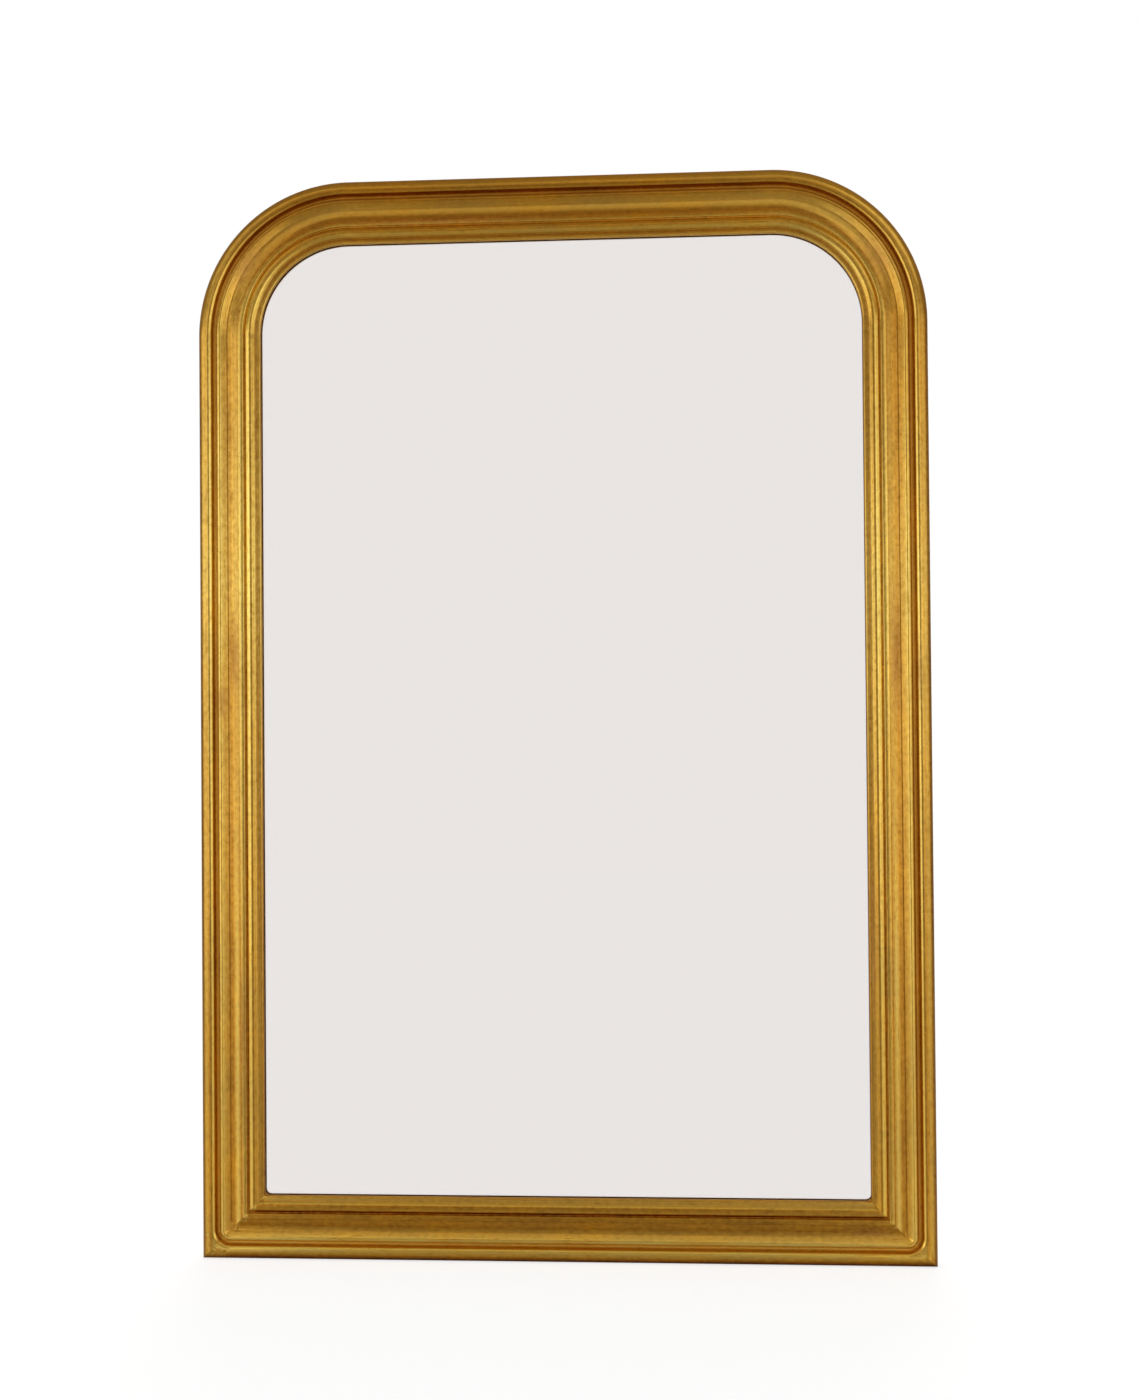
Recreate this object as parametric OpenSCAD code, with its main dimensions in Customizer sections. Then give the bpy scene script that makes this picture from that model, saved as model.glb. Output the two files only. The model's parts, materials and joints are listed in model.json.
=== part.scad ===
// Arched wall mirror in a moulded, gilded wood frame.
// The origin is on the wall, at the centre of the back. +Z is up and the mirror looks along -Y.
// A moulding is described by t, the distance in from the frame's outer edge,
// and by h, the height above the flat back of the wood. All sizes are in millimetres.

/* [Frame] */
// Width of the frame, outside
frame_w = 800; // [560:5:1100]
// Height of the frame, outside
frame_h = 1185; // [900:5:1700]
// Outer radius of the two top corners
corner_r = 168; // [130:1:230]

/* [Moulding widths, from the outer edge in] */
// Width of the raised outer band
band_w = 16; // [15.5:0.5:24]
// Width of the groove inside the band
groove_w = 5.2; // [3:0.1:8]
// Width of the ogee, from the groove to the seam in the hollow
ogee_w = 11.3; // [10:0.1:20]
// Width of the cove, from the seam to the fillet
cove_w = 12; // [8:0.5:20]
// Width of the flat fillet beside the bead
fillet_w = 7.2; // [5:0.1:12]
// Width of the round bead
bead_w = 12.8; // [9:0.1:18]
// Width of the lip that holds the glass
lip_w = 5.5; // [5:0.1:12]

/* [Moulding heights, above the back of the wood] */
// Height of the outer band
band_h = 30; // [28:0.5:40]
// Height of the groove's floor
groove_h = 22.5; // [18:0.5:24]
// Height of the ogee's crest
crest_h = 31; // [28:0.5:40]
// Height of the flat fillet
fillet_h = 30.2; // [30:0.1:34]
// Height of the bead
bead_h = 30; // [28.5:0.1:34]
// Height of the lip
lip_h = 25.8; // [25.4:0.1:27]

/* [Moulding curves] */
// Radius of the frame's outer edge
edge_r = 10.5; // [2:0.5:11]
// Radius of the band's inner edge
band_r = 4.5; // [1:0.5:5]
// Radius of the ogee's crest
crest_r = 3.4; // [2:0.1:4.5]
// Slope of the ogee where its crest turns hollow, in degrees
ogee_slope = 34; // [28:1:50]
// Slope of the ogee at the seam, in degrees
seam_slope = 26; // [8:1:27]
// Slope of the cove where it meets the fillet, in degrees
cove_slope = 22; // [18:1:34]
// Radius of the fillet's two edges
fillet_r = 0.9; // [0.4:0.1:1.5]
// Angle that the bead turns through on each side of its top, in degrees
bead_sweep = 56; // [50:1:75]
// Width of the fine channel on each side of the bead
quirk_w = 0.9; // [0.5:0.1:1.2]
// Radius of the lip's edge at the glass
lip_r = 2.2; // [1:0.1:2.4]

/* [Glass and rebate] */
// Thickness of the mirror glass
glass_t = 4; // [3:0.5:6]
// Thickness of the silvering and its paint
silver_t = 0.3; // [0.2:0.1:0.5]
// Depth of the rebate, from the back of the wood to the glass face
rebate_h = 22.2; // [21.8:0.1:22.8]
// Width of the rebate behind the lip and bead
rebate_w = 9; // [8:0.5:12]
// Gap round the edge of the glass
glass_gap = 2; // [1:0.5:3]
// Length of a pad under the glass
pad_l = 40; // [20:5:60]
// Distance of each pad from the middle
pad_x = 200; // [100:5:240]

/* [Back board] */
// Thickness of the back board
board_t = 6; // [4:0.5:8]
// Gap round the edge of the back board
board_gap = 0.8; // [0.5:0.1:1]
// Length of a glass block
block_l = 45; // [25:5:70]
// Width of a glass block
block_w = 8; // [6:0.5:8]
// Bevel of a glass block
block_bevel = 4; // [2:0.5:5]

/* [Turn buttons] */
// Length of a turn button
button_l = 32; // [28:1:40]
// Width of a turn button
button_w = 11; // [10:0.5:14]
// Thickness of a turn button
button_t = 1.6; // [1:0.1:2]
// Distance of a turn button's screw from the edge of the rebate
button_inset = 9; // [8:0.5:12]
// Diameter of a turn button's screw
button_screw_d = 3.8; // [3:0.1:4]
// Length of a turn button's screw in the wood
button_screw_l = 14; // [10:1:18]
// Distance of the end buttons from the end of their straight rebate
button_end = 62; // [40:1:90]
// Distance of the rail buttons from the middle
button_x = 150; // [100:5:180]

/* [Hangers] */
// Width of a hanger strap
strap_w = 14; // [12:0.5:20]
// Wood screw head's margin on a hanger strap, round each head
strap_margin = 1.2; // [1:0.1:2.5]
// Thickness of a hanger strap
strap_t = 1.2; // [1:0.1:1.6]
// Diameter of the ring's wire
wire_d = 2.5; // [2:0.1:3]
// Width of the ring, between the centres of its wires
ring_w = 25; // [22:1:32]
// Radius of the ring's two upper corners
ring_corner_r = 4; // [3:0.5:4.5]
// Gap between the strap's curl and the wood
curl_gap = 0.3; // [0.2:0.1:0.6]
// Distance of the hanger from the outer edge, to its centre
hanger_t = 25; // [23:1:30]
// Distance of the ring's axis below the top of the frame
hanger_drop = 340; // [300:5:420]
// Diameter of a hanger screw
hanger_screw_d = 4; // [3:0.1:4.5]
// Length of a hanger screw in the wood
hanger_screw_l = 14; // [10:1:18]

/* [Wall bumpers] */
// Thickness of a bumper, which is the gap to the wall
bumper_h = 6; // [5.8:0.1:10]
// Diameter of a bumper
bumper_d = 16; // [10:1:24]
// Bevel round the face of a bumper
bumper_bevel = 1; // [0.5:0.1:1.5]
// Distance of the lower bumpers above the bottom of the frame
bumper_rise = 95; // [80:5:140]
// Distance of the upper bumpers below the top corners
bumper_drop = 32; // [15:1:34]

/* [Joints in the wood] */
// Diameter of a dowel
dowel_d = 8; // [6:0.5:10]
// Length of a dowel
dowel_l = 40; // [30:1:60]
// Bevel at each end of a dowel
dowel_bevel = 1; // [0.5:0.1:2]
// Height of the dowels above the back of the wood
dowel_h = 11; // [9:0.5:12]
// Distance from a dowel to the edge of the rebate or of the frame
dowel_edge = 16; // [12:0.5:18]
// Gap round a dowel, and at each of its ends
dowel_gap = 0.1; // [0.05:0.05:0.3]
// Length of a mitre key
key_l = 54; // [40:1:60]
// Width of a mitre key
key_w = 8; // [6:0.5:12]
// Depth of a mitre key
key_h = 12; // [8:0.5:14]
// Gap round a mitre key
key_gap = 0.1; // [0.05:0.05:0.2]

/* [Fasteners] */
// Gap between a turning piece and its screw or wire, on the radius
running_gap = 0.08; // [0.05:0.01:0.1]
// Gap between a fixed screw and its hole, on the radius
screw_gap = 0.05; // [0.03:0.01:0.1]
// Diameter of a screw's head, over the diameter of its shank
head_ratio = 1.9; // [1.7:0.1:2.1]
// Height of a screw's head
head_h = 2; // [1.5:0.1:2.2]
// Width of the slot in a screw's head
slot_w = 0.9; // [0.6:0.1:1.1]

/* [Hidden] */
$fn = 64;

gold = "goldenrod";
bare_wood = "burlywood";
steel = "silver";

// Where each member of the moulding starts
groove_t = band_w;
crest_t = groove_t + groove_w;
seam_t = crest_t + ogee_w;
fillet_t = seam_t + cove_w;
bead_t = fillet_t + fillet_w;
lip_t = bead_t + bead_w;
rail_w = lip_t + lip_w;
rebate_t = rail_w - rebate_w;

// The ogee's hollow: it leaves the crest at one slope and reaches the seam at another
ogee_start = [
    crest_t + crest_r + crest_r * sin(ogee_slope),
    crest_h - crest_r + crest_r * cos(ogee_slope)
];
ogee_r = (seam_t - ogee_start[0]) / (sin(ogee_slope) - sin(seam_slope));
ogee_centre = ogee_start + ogee_r * [sin(ogee_slope), cos(ogee_slope)];
seam_h = ogee_centre[1] - ogee_r * cos(seam_slope);

// The cove lies flat at the seam and rises to the fillet
cove_r = cove_w / sin(cove_slope);

// The bead is a round that stops in a quirk on each side
bead_r = (bead_w - quirk_w) / 2 / sin(bead_sweep);
quirk_h = bead_h - bead_r * (1 - cos(bead_sweep));

// The stack behind the lip
glass_inset = rebate_t + glass_gap;
board_inset = rebate_t + board_gap;
glass_back_h = rebate_h - glass_t;
silver_back_h = glass_back_h - silver_t;

// Straight lengths between the joints
half_w = frame_w / 2;
half_h = frame_h / 2;
arc_x = half_w - corner_r;
arc_z = half_h - corner_r;

// Turn buttons and the glass blocks in front of them, each as x, z and the angle towards the glass
button_t0 = rebate_t - button_inset;
button_low_z = -half_h + rail_w + button_end;
button_high_z = arc_z - button_end;
button_zs = [button_low_z, (button_low_z + button_high_z) / 2, button_high_z];
left_buttons = [for (z = button_zs) [-half_w + button_t0, z, 0]];
right_buttons = [for (z = button_zs) [half_w - button_t0, z, 180]];
top_buttons = [for (x = [-button_x, button_x]) [x, half_h - button_t0, -90]];
bottom_buttons = [for (x = [-button_x, button_x]) [x, -half_h + button_t0, 90]];

// The ring's axis stands off the wood so that the ring folds flat over its strap
knuckle_bore_r = wire_d / 2 + running_gap;
knuckle_r = knuckle_bore_r + strap_t;
ring_stand = knuckle_r + curl_gap;
ring_z = half_h - hanger_drop;
ring_reach = ring_corner_r + ring_w / 2 + wire_d / 2;
knuckle_w = ring_w / 2;

// The screws are below the hanging ring, and their heads set the length of the strap
strap_head_r = hanger_screw_d * head_ratio / 2;
strap_hole_1 = ring_reach + strap_head_r + strap_margin;
strap_hole_2 = strap_hole_1 + 2 * strap_head_r + 2 * strap_margin;
strap_holes = [strap_hole_1, strap_hole_2];

eps = 0.01;

function turn(a) = [cos(a), sin(a)];
function arc(centre, r, from, to, steps) = [
    for (i = [0:steps]) centre + r * turn(from + (to - from) * i / steps)
];

// The outer moulding's face from the band's inner edge to the seam
function inner_edge_to_seam() = concat(
    arc([groove_t - band_r, band_h - band_r], band_r, 90, 0, 5),
    arc([groove_t + groove_w / 2, groove_h + groove_w / 2], groove_w / 2, 180, 360, 8),
    arc([crest_t + crest_r, crest_h - crest_r], crest_r, 180, 90 - ogee_slope, 8),
    arc(ogee_centre, ogee_r, 270 - ogee_slope, 270 - seam_slope, 6)
);

// The rounded outer edge of the frame
function outer_edge() = arc([edge_r, band_h - edge_r], edge_r, 180, 90, 6);

// The inner moulding's face from the seam to the glass
function seam_to_glass() = concat(
    arc([seam_t, seam_h + cove_r], cove_r, 270, 270 + cove_slope, 6),
    arc([fillet_t + quirk_w / 2 + fillet_r, fillet_h - fillet_r], fillet_r, 180, 90, 3),
    arc([bead_t - quirk_w / 2 - fillet_r, fillet_h - fillet_r], fillet_r, 90, 0, 3),
    [[bead_t - quirk_w / 4, quirk_h]],
    arc([bead_t + bead_w / 2, bead_h - bead_r], bead_r, 90 + bead_sweep, 90 - bead_sweep, 14),
    [[lip_t + quirk_w / 4, quirk_h]],
    [[lip_t + quirk_w / 2, lip_h]],
    arc([rail_w - lip_r, lip_h - lip_r], lip_r, 90, 0, 5),
    [[rail_w, rebate_h]]
);

// Turns a list of t and h into a flat outline, with the face of the moulding at the bottom
module section(points) polygon([for (p = points) [p[0], -p[1]]]);

module moulding_section() {
    section(concat(
        [[0, 0]], outer_edge(), inner_edge_to_seam(), seam_to_glass(),
        [[rebate_t, rebate_h], [rebate_t, 0]]
    ));
}

// The band's own section, carried flat as far as the seam
module band_section() {
    section(concat([[0, 0]], outer_edge(), [[seam_t, band_h], [seam_t, 0]]));
}

// A moulding that stands on its end: the outer edge at x = 0, the back at y = 0
module upright(length) linear_extrude(length) children();

// Puts what is drawn on the back of the wood in its place, y = 0 being the back
module on_back() translate([0, -bumper_h, 0]) children();

// From the lower left corner of the frame
module from_corner() translate([-half_w, 0, -half_h]) children();

// A part of the moulding that turns about an axis through the frame
module turned(radius, quadrant, points) {
    rotate([-90, 0, 0])
        rotate([0, 0, quadrant])
            rotate_extrude(angle = 90, $fn = 128)
                polygon([for (p = points) [radius - p[0], -p[1]]]);
}

// The square lower corner: the band runs out to the corner and the groove and ogee turn round it
module lower_corner() {
    round_r = seam_t - groove_t + band_r;
    difference() {
        intersection() {
            upright(seam_t) band_section();
            translate([seam_t, 0, 0]) rotate([0, -90, 0]) upright(seam_t) band_section();
        }
        translate([seam_t, eps, seam_t])
            rotate([90, 0, 0])
                cylinder(r = round_r, h = band_h + 2 * eps, $fn = 128);
    }
    translate([seam_t, 0, seam_t])
        turned(seam_t, 90, concat([[groove_t - band_r, 0]], inner_edge_to_seam(), [[seam_t, 0]]));
}

// All that lies on one side of the mitre at the lower left corner
module beside_mitre(under) {
    reach = 2 * frame_h;
    outer_end = under ? [reach, -reach] : [-reach, reach];
    on_back()
        from_corner()
            translate([0, eps, 0])
                rotate([90, 0, 0])
                    linear_extrude(bumper_h + 2 * band_h)
                        polygon([[-reach, -reach], outer_end, [reach, reach]]);
}

// A key let into the back across the mitre, with a gap round it where it is a slot
module mitre_key(gap) {
    middle = rebate_t / 2;
    on_back()
        from_corner()
            translate([middle, 0, middle])
                rotate([0, 45, 0])
                    translate([-key_l / 2 - gap, -key_h - gap, -key_w / 2 - gap])
                        cube([key_l + 2 * gap, key_h + gap + (gap > 0 ? eps : 0), key_w + 2 * gap]);
}

// A dowel along +Z, centred on the joint
module dowel() {
    straight = dowel_l / 2 - dowel_bevel;
    translate([0, 0, -straight]) cylinder(d = dowel_d, h = 2 * straight);
    for (side = [0, 1])
        mirror([0, 0, side])
            translate([0, 0, straight])
                cylinder(d1 = dowel_d, d2 = dowel_d - 2 * dowel_bevel, h = dowel_bevel);
}

module dowel_hole() {
    long = dowel_l + 2 * dowel_gap;
    translate([0, 0, -long / 2]) cylinder(d = dowel_d + 2 * dowel_gap, h = long);
}

// Two dowels side by side at each end of a top corner block
module at_joints(side) {
    mirror([side, 0, 0])
        for (t = [dowel_edge + dowel_d / 2, rebate_t - dowel_edge + dowel_d / 2]) {
            on_back() translate([-half_w + t, -dowel_h, arc_z]) children();
            on_back() translate([-arc_x, -dowel_h, half_h - t]) rotate([0, 90, 0]) children();
        }
}

// A pan head screw that points into the wood along -Y, with the underside of its head at y = lift
module screw(d, length, lift) {
    tip = d;
    head_r = d * head_ratio / 2;
    rotate([90, 0, 0]) {
        translate([0, 0, -lift]) cylinder(d = d, h = length + lift - tip);
        translate([0, 0, length - tip]) cylinder(d1 = d, d2 = d / 4, h = tip);
        difference() {
            translate([0, 0, -lift - head_h])
                cylinder(r1 = head_r - head_h / 3, r2 = head_r, h = head_h);
            translate([-head_r, -slot_w / 2, -lift - head_h - eps])
                cube([2 * head_r, slot_w, head_h / 2 + eps]);
        }
    }
}

module screw_hole(d, length) {
    rotate([90, 0, 0])
        translate([0, 0, -eps])
            cylinder(r = d / 2 + screw_gap, h = length + eps + screw_gap);
}

module at_button(place) on_back() translate([place[0], 0, place[1]]) rotate([0, -place[2], 0]) children();

module button_holes(places) {
    for (place = places)
        at_button(place) screw_hole(button_screw_d, button_screw_l);
}

// Both screw places of the left hanger
module at_strap_holes() {
    for (drop = strap_holes)
        on_back() translate([-half_w + hanger_t, 0, ring_z - drop]) children();
}

module stile() {
    color(gold)
        difference() {
            union() {
                on_back()
                    from_corner()
                        translate([0, 0, seam_t])
                            upright(frame_h - corner_r - seam_t) moulding_section();
                on_back() from_corner() lower_corner();
            }
            beside_mitre(true);
            mitre_key(key_gap);
            at_joints(0) dowel_hole();
            button_holes(left_buttons);
            at_strap_holes() screw_hole(hanger_screw_d, hanger_screw_l);
        }
}

module bottom_rail() {
    color(gold)
        difference() {
            union() {
                on_back()
                    translate([half_w - seam_t, 0, -half_h])
                        rotate([0, -90, 0])
                            upright(frame_w - 2 * seam_t) moulding_section();
                for (side = [0, 1])
                    mirror([side, 0, 0]) on_back() from_corner() lower_corner();
            }
            for (side = [0, 1])
                mirror([side, 0, 0]) {
                    beside_mitre(false);
                    mitre_key(key_gap);
                }
            button_holes(bottom_buttons);
        }
}

module top_rail() {
    color(gold)
        difference() {
            on_back()
                translate([-arc_x, 0, half_h])
                    rotate([0, 90, 0])
                        upright(2 * arc_x) moulding_section();
            for (side = [0, 1])
                at_joints(side) dowel_hole();
            button_holes(top_buttons);
        }
}

module corner_block() {
    color(gold)
        difference() {
            on_back()
                translate([-arc_x, 0, arc_z])
                    turned(corner_r, 180, concat(
                        [[0, 0]], outer_edge(), inner_edge_to_seam(), seam_to_glass(),
                        [[rebate_t, rebate_h], [rebate_t, 0]]
                    ));
            at_joints(0) dowel_hole();
        }
}

module corner_dowels() {
    color(bare_wood)
        for (side = [0, 1])
            at_joints(side) dowel();
}

module left_mitre_key() color(bare_wood) mitre_key(0);

// A plate with the frame's outline, a set distance inside it
module arched_plate(inset, low_h, thickness) {
    w = frame_w - 2 * inset;
    h = frame_h - 2 * inset;
    r = corner_r - inset;
    translate([0, -bumper_h - low_h, 0])
        rotate([90, 0, 0])
            linear_extrude(thickness) {
                translate([-w / 2, -h / 2]) square([w, h - r]);
                translate([r - w / 2, h / 2 - r - eps]) square([w - 2 * r, r + eps]);
                for (x = [r - w / 2, w / 2 - r])
                    translate([x, h / 2 - r]) circle(r, $fn = 128);
            }
}

module mirror_glass() color("lightgrey") arched_plate(glass_inset, glass_back_h, glass_t);

module mirror_silvering() color("slategrey") arched_plate(glass_inset, silver_back_h, silver_t);

module back_board() color(bare_wood) arched_plate(board_inset, 0, board_t);

module glass_pads() {
    color("dimgrey")
        for (x = [-pad_x, pad_x])
            on_back()
                translate([x - pad_l / 2, -rebate_h, rebate_t - half_h])
                    cube([pad_l, glass_t, glass_gap]);
}

// A block glued in the rebate behind the glass, along the edge that its turn button is on
module glass_block(place) {
    color(bare_wood)
        at_button(place)
            translate([button_inset, 0, -block_l / 2])
                linear_extrude(block_l)
                    polygon([
                        [0, -board_t], [block_w - block_bevel, -board_t],
                        [block_w, -board_t - block_bevel], [block_w, -silver_back_h], [0, -silver_back_h]
                    ]);
}

module glass_blocks(places) {
    for (place = places)
        glass_block(place);
}

// A flat plate with round ends that turns on its screw and holds the back board in
module turn_button(place) {
    r = button_w / 2;
    color(steel)
        at_button(place)
            translate([0, button_t, 0])
                rotate([90, 0, 0])
                    linear_extrude(button_t)
                        difference() {
                            union() {
                                circle(r);
                                translate([0, -r]) square([button_l - button_w, button_w]);
                                translate([button_l - button_w, 0]) circle(r);
                            }
                            circle(button_screw_d / 2 + running_gap);
                        }
}

module turn_button_screws() {
    color(steel)
        for (place = concat(left_buttons, right_buttons, top_buttons, bottom_buttons))
            at_button(place) screw(button_screw_d, button_screw_l, button_t);
}

// The curl at the top of the strap, seen along the ring's axis
module strap_curl() {
    difference() {
        union() {
            translate([ring_stand, 0]) circle(knuckle_r);
            translate([0, -knuckle_r]) square([strap_t, knuckle_r]);
        }
        translate([ring_stand, 0]) circle(knuckle_bore_r);
    }
}

// The flat of the strap with its two screw holes, hanging down from the curl
module strap_plate() {
    difference() {
        union() {
            translate([0, strap_hole_2]) circle(strap_w / 2);
            translate([-strap_w / 2, knuckle_r]) square([strap_w, strap_hole_2 - knuckle_r]);
        }
        for (drop = strap_holes)
            translate([0, drop]) circle(hanger_screw_d / 2 + screw_gap);
    }
}

// The strap lies on the wood and curls round the ring's straight side
module hanger_strap() {
    color(steel)
        on_back()
            translate([-half_w + hanger_t, 0, ring_z]) {
                translate([-knuckle_w / 2, 0, 0])
                    rotate([90, 0, 90])
                        linear_extrude(knuckle_w) strap_curl();
                rotate([-90, 0, 0])
                    linear_extrude(strap_t) strap_plate();
            }
}

// A wire ring with one straight side, hanging down from its strap
module d_ring() {
    bar_l = ring_w - 2 * ring_corner_r;
    wire_r = wire_d / 2;
    color(steel)
        on_back()
            translate([-half_w + hanger_t, ring_stand, ring_z])
                rotate([90, 0, 0]) {
                    translate([-bar_l / 2, 0, 0]) rotate([0, 90, 0]) cylinder(r = wire_r, h = bar_l);
                    for (side = [0, 1])
                        mirror([side, 0, 0])
                            translate([bar_l / 2, -ring_corner_r, 0])
                                rotate_extrude(angle = 90)
                                    translate([ring_corner_r, 0]) circle(wire_r, $fn = 32);
                    translate([0, -ring_corner_r, 0])
                        rotate([0, 0, 180])
                            rotate_extrude(angle = 180)
                                translate([ring_w / 2, 0]) circle(wire_r, $fn = 32);
                }
}

module hanger_screws() {
    color(steel)
        for (side = [0, 1])
            mirror([side, 0, 0])
                at_strap_holes() screw(hanger_screw_d, hanger_screw_l, strap_t);
}

// A soft pad between the frame and the wall
module bumper(side, z) {
    color("dimgrey")
        mirror([side, 0, 0])
            translate([-half_w + hanger_t, 0, z])
                rotate([90, 0, 0]) {
                    cylinder(d1 = bumper_d - 2 * bumper_bevel, d2 = bumper_d, h = bumper_bevel);
                    translate([0, 0, bumper_bevel]) cylinder(d = bumper_d, h = bumper_h - bumper_bevel);
                }
}

stile();  // left_stile
mirror([1, 0, 0]) stile();  // right_stile
top_rail();
bottom_rail();
corner_block();  // left_corner_block
mirror([1, 0, 0]) corner_block();  // right_corner_block
corner_dowels();
left_mitre_key();
mirror([1, 0, 0]) left_mitre_key();  // right_mitre_key
mirror_glass();
mirror_silvering();
glass_pads();
glass_blocks(left_buttons);  // left_glass_blocks
glass_blocks(right_buttons);  // right_glass_blocks
glass_blocks(top_buttons);  // top_glass_blocks
glass_blocks(bottom_buttons);  // bottom_glass_blocks
back_board();
for (i = [0:2]) {
    turn_button(left_buttons[i]);
    turn_button(right_buttons[i]);
}
for (i = [0:1]) {
    turn_button(top_buttons[i]);
    turn_button(bottom_buttons[i]);
}
turn_button_screws();
hanger_strap();  // left_hanger_strap
mirror([1, 0, 0]) hanger_strap();  // right_hanger_strap
d_ring();  // left_d_ring
mirror([1, 0, 0]) d_ring();  // right_d_ring
hanger_screws();
bumper(0, arc_z - bumper_drop);  // bumper_top_left
bumper(1, arc_z - bumper_drop);  // bumper_top_right
bumper(0, -half_h + bumper_rise);  // bumper_bottom_left
bumper(1, -half_h + bumper_rise);  // bumper_bottom_right
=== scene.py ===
# %% [markdown]
# This notebook dresses an arched wall mirror: a moulded wood frame with round top corners and a square
# foot, gilded over red clay, with plain silvered glass, a plywood back and hardware for hanging it.
# The construction comes from a fixed frame of solids. It is loaded first and never moved.
# Each step says what a piece is on the real mirror and how it is made, and then makes it.

# %% Load the fixed frame
import json
import math

import bmesh
import bpy
from mathutils import Matrix, Vector

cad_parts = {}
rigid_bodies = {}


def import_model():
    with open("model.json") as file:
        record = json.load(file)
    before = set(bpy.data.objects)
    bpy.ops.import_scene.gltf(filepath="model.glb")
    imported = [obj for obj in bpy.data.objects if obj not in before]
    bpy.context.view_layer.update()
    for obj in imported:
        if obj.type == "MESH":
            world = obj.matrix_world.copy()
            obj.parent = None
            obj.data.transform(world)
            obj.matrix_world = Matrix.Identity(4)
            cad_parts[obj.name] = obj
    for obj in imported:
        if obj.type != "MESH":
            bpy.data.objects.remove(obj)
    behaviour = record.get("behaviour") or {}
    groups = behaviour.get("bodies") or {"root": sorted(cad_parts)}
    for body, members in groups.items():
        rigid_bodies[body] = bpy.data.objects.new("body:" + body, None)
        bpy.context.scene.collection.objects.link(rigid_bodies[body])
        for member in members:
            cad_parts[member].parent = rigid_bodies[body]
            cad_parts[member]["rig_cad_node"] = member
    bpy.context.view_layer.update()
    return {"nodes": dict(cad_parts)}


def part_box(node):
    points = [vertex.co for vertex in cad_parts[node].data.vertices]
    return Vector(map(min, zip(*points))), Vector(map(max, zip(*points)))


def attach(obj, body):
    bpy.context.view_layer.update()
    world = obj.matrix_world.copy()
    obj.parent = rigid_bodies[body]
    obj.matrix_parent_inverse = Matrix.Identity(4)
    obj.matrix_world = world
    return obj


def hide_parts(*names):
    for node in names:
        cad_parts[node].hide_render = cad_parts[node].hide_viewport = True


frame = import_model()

# %% [markdown]
# All places are in metres. The wall is y = 0, the mirror looks along -Y and its middle is at z = 0.
# The main sizes are read from the boxes of the solids, so the looks follow them. A moulding is
# described by t, the distance in from the frame's outer edge, and h, the height above the flat back
# of the wood, both in millimetres, as a joiner would write them on a drawing.

# %% Read the main sizes from the solids
MM = 0.001
stile_low, stile_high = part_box("left_stile")
top_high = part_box("top_rail")[1]
HALF_W = -stile_low.x
BOTTOM = stile_low.z
TOP = top_high.z
BACK = stile_high.y
ARC_X = top_high.x
ARC_Z = stile_high.z
CORNER_R = HALF_W - ARC_X
print("frame", round(2 * HALF_W, 4), "by", round(TOP - BOTTOM, 4), "corner radius", round(CORNER_R, 4))

# Widths of the moulding's members, from the outer edge in
BAND_W = 16
GROOVE_W = 5.2
OGEE_W = 11.3
COVE_W = 12
FILLET_W = 7.2
BEAD_W = 12.8
LIP_W = 5.5
# Heights of its members, and the width of the rebate behind the lip
BAND_H = 30
GROOVE_H = 22.5
CREST_H = 31
FILLET_H = 30.2
BEAD_H = 30
LIP_H = 25.8
REBATE_H = 22.2
REBATE_W = 9
# Radii, slopes in degrees, and the width of the quirks, which are the narrow grooves beside the bead
EDGE_R = 10.5
BAND_R = 4.5
CREST_R = 3.4
OGEE_SLOPE = 34
SEAM_SLOPE = 26
COVE_SLOPE = 22
FILLET_R = 0.9
BEAD_SWEEP = 56
QUIRK_W = 0.9
LIP_R = 2.2

# Where each member starts
CREST_T = BAND_W + GROOVE_W
SEAM_T = CREST_T + OGEE_W
FILLET_T = SEAM_T + COVE_W
BEAD_T = FILLET_T + FILLET_W
LIP_T = BEAD_T + BEAD_W
RAIL_W = LIP_T + LIP_W
REBATE_T = RAIL_W - REBATE_W
# The flat of the band ends here, and in the lower corners all from here to the seam turns round
ROUND_T = BAND_W - BAND_R
print("rail width", round(RAIL_W, 2), "mm")

# %% [markdown]
# The helpers below do what a hand does in edit mode: open one piece alone, pick vertices or edges by
# their place, and close it again. Everything else is deselected first, because an operator acts on all
# that is selected.

# %% Helpers for editing one piece at a time
def deselect():
    bpy.ops.object.select_all(action="DESELECT")


def only(*pieces):
    """Selects these pieces alone, with the first one active."""
    deselect()
    for piece in pieces:
        piece.select_set(True)
    bpy.context.view_layer.objects.active = pieces[0]


def edit(piece):
    only(piece)
    bpy.ops.object.mode_set(mode="EDIT")


def close():
    bpy.ops.object.mode_set(mode="OBJECT")


def take_all():
    bpy.ops.mesh.select_all(action="SELECT")


def pick(kind, test):
    """Selects the vertices, edges or faces that pass a test, and says how many there are."""
    bpy.ops.mesh.select_mode(type=kind)
    bpy.ops.mesh.select_all(action="DESELECT")
    mesh = bpy.context.edit_object.data
    shape = bmesh.from_edit_mesh(mesh)
    found = 0
    for part in {"VERT": shape.verts, "EDGE": shape.edges, "FACE": shape.faces}[kind]:
        if test(part):
            part.select_set(True)
            found += 1
    shape.select_flush_mode()
    bmesh.update_edit_mesh(mesh)
    return found


def both_ends(edge, test):
    return all(test(v.co) for v in edge.verts)


def near(a, b):
    return abs(a - b) < 0.01 * MM


# Points closer than this are one point
MERGE = 0.02 * MM


def tidy_mesh():
    take_all()
    bpy.ops.mesh.remove_doubles(threshold=MERGE)
    bpy.ops.mesh.normals_make_consistent(inside=False)


def push(x, y, z):
    """Extrudes what is selected."""
    bpy.ops.mesh.extrude_region_move(TRANSFORM_OT_translate={"value": (x, y, z)})


# %% Helpers for naming, copying and placing pieces
def rad(degrees):
    return math.radians(degrees)


def sin(degrees):
    return math.sin(rad(degrees))


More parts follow.
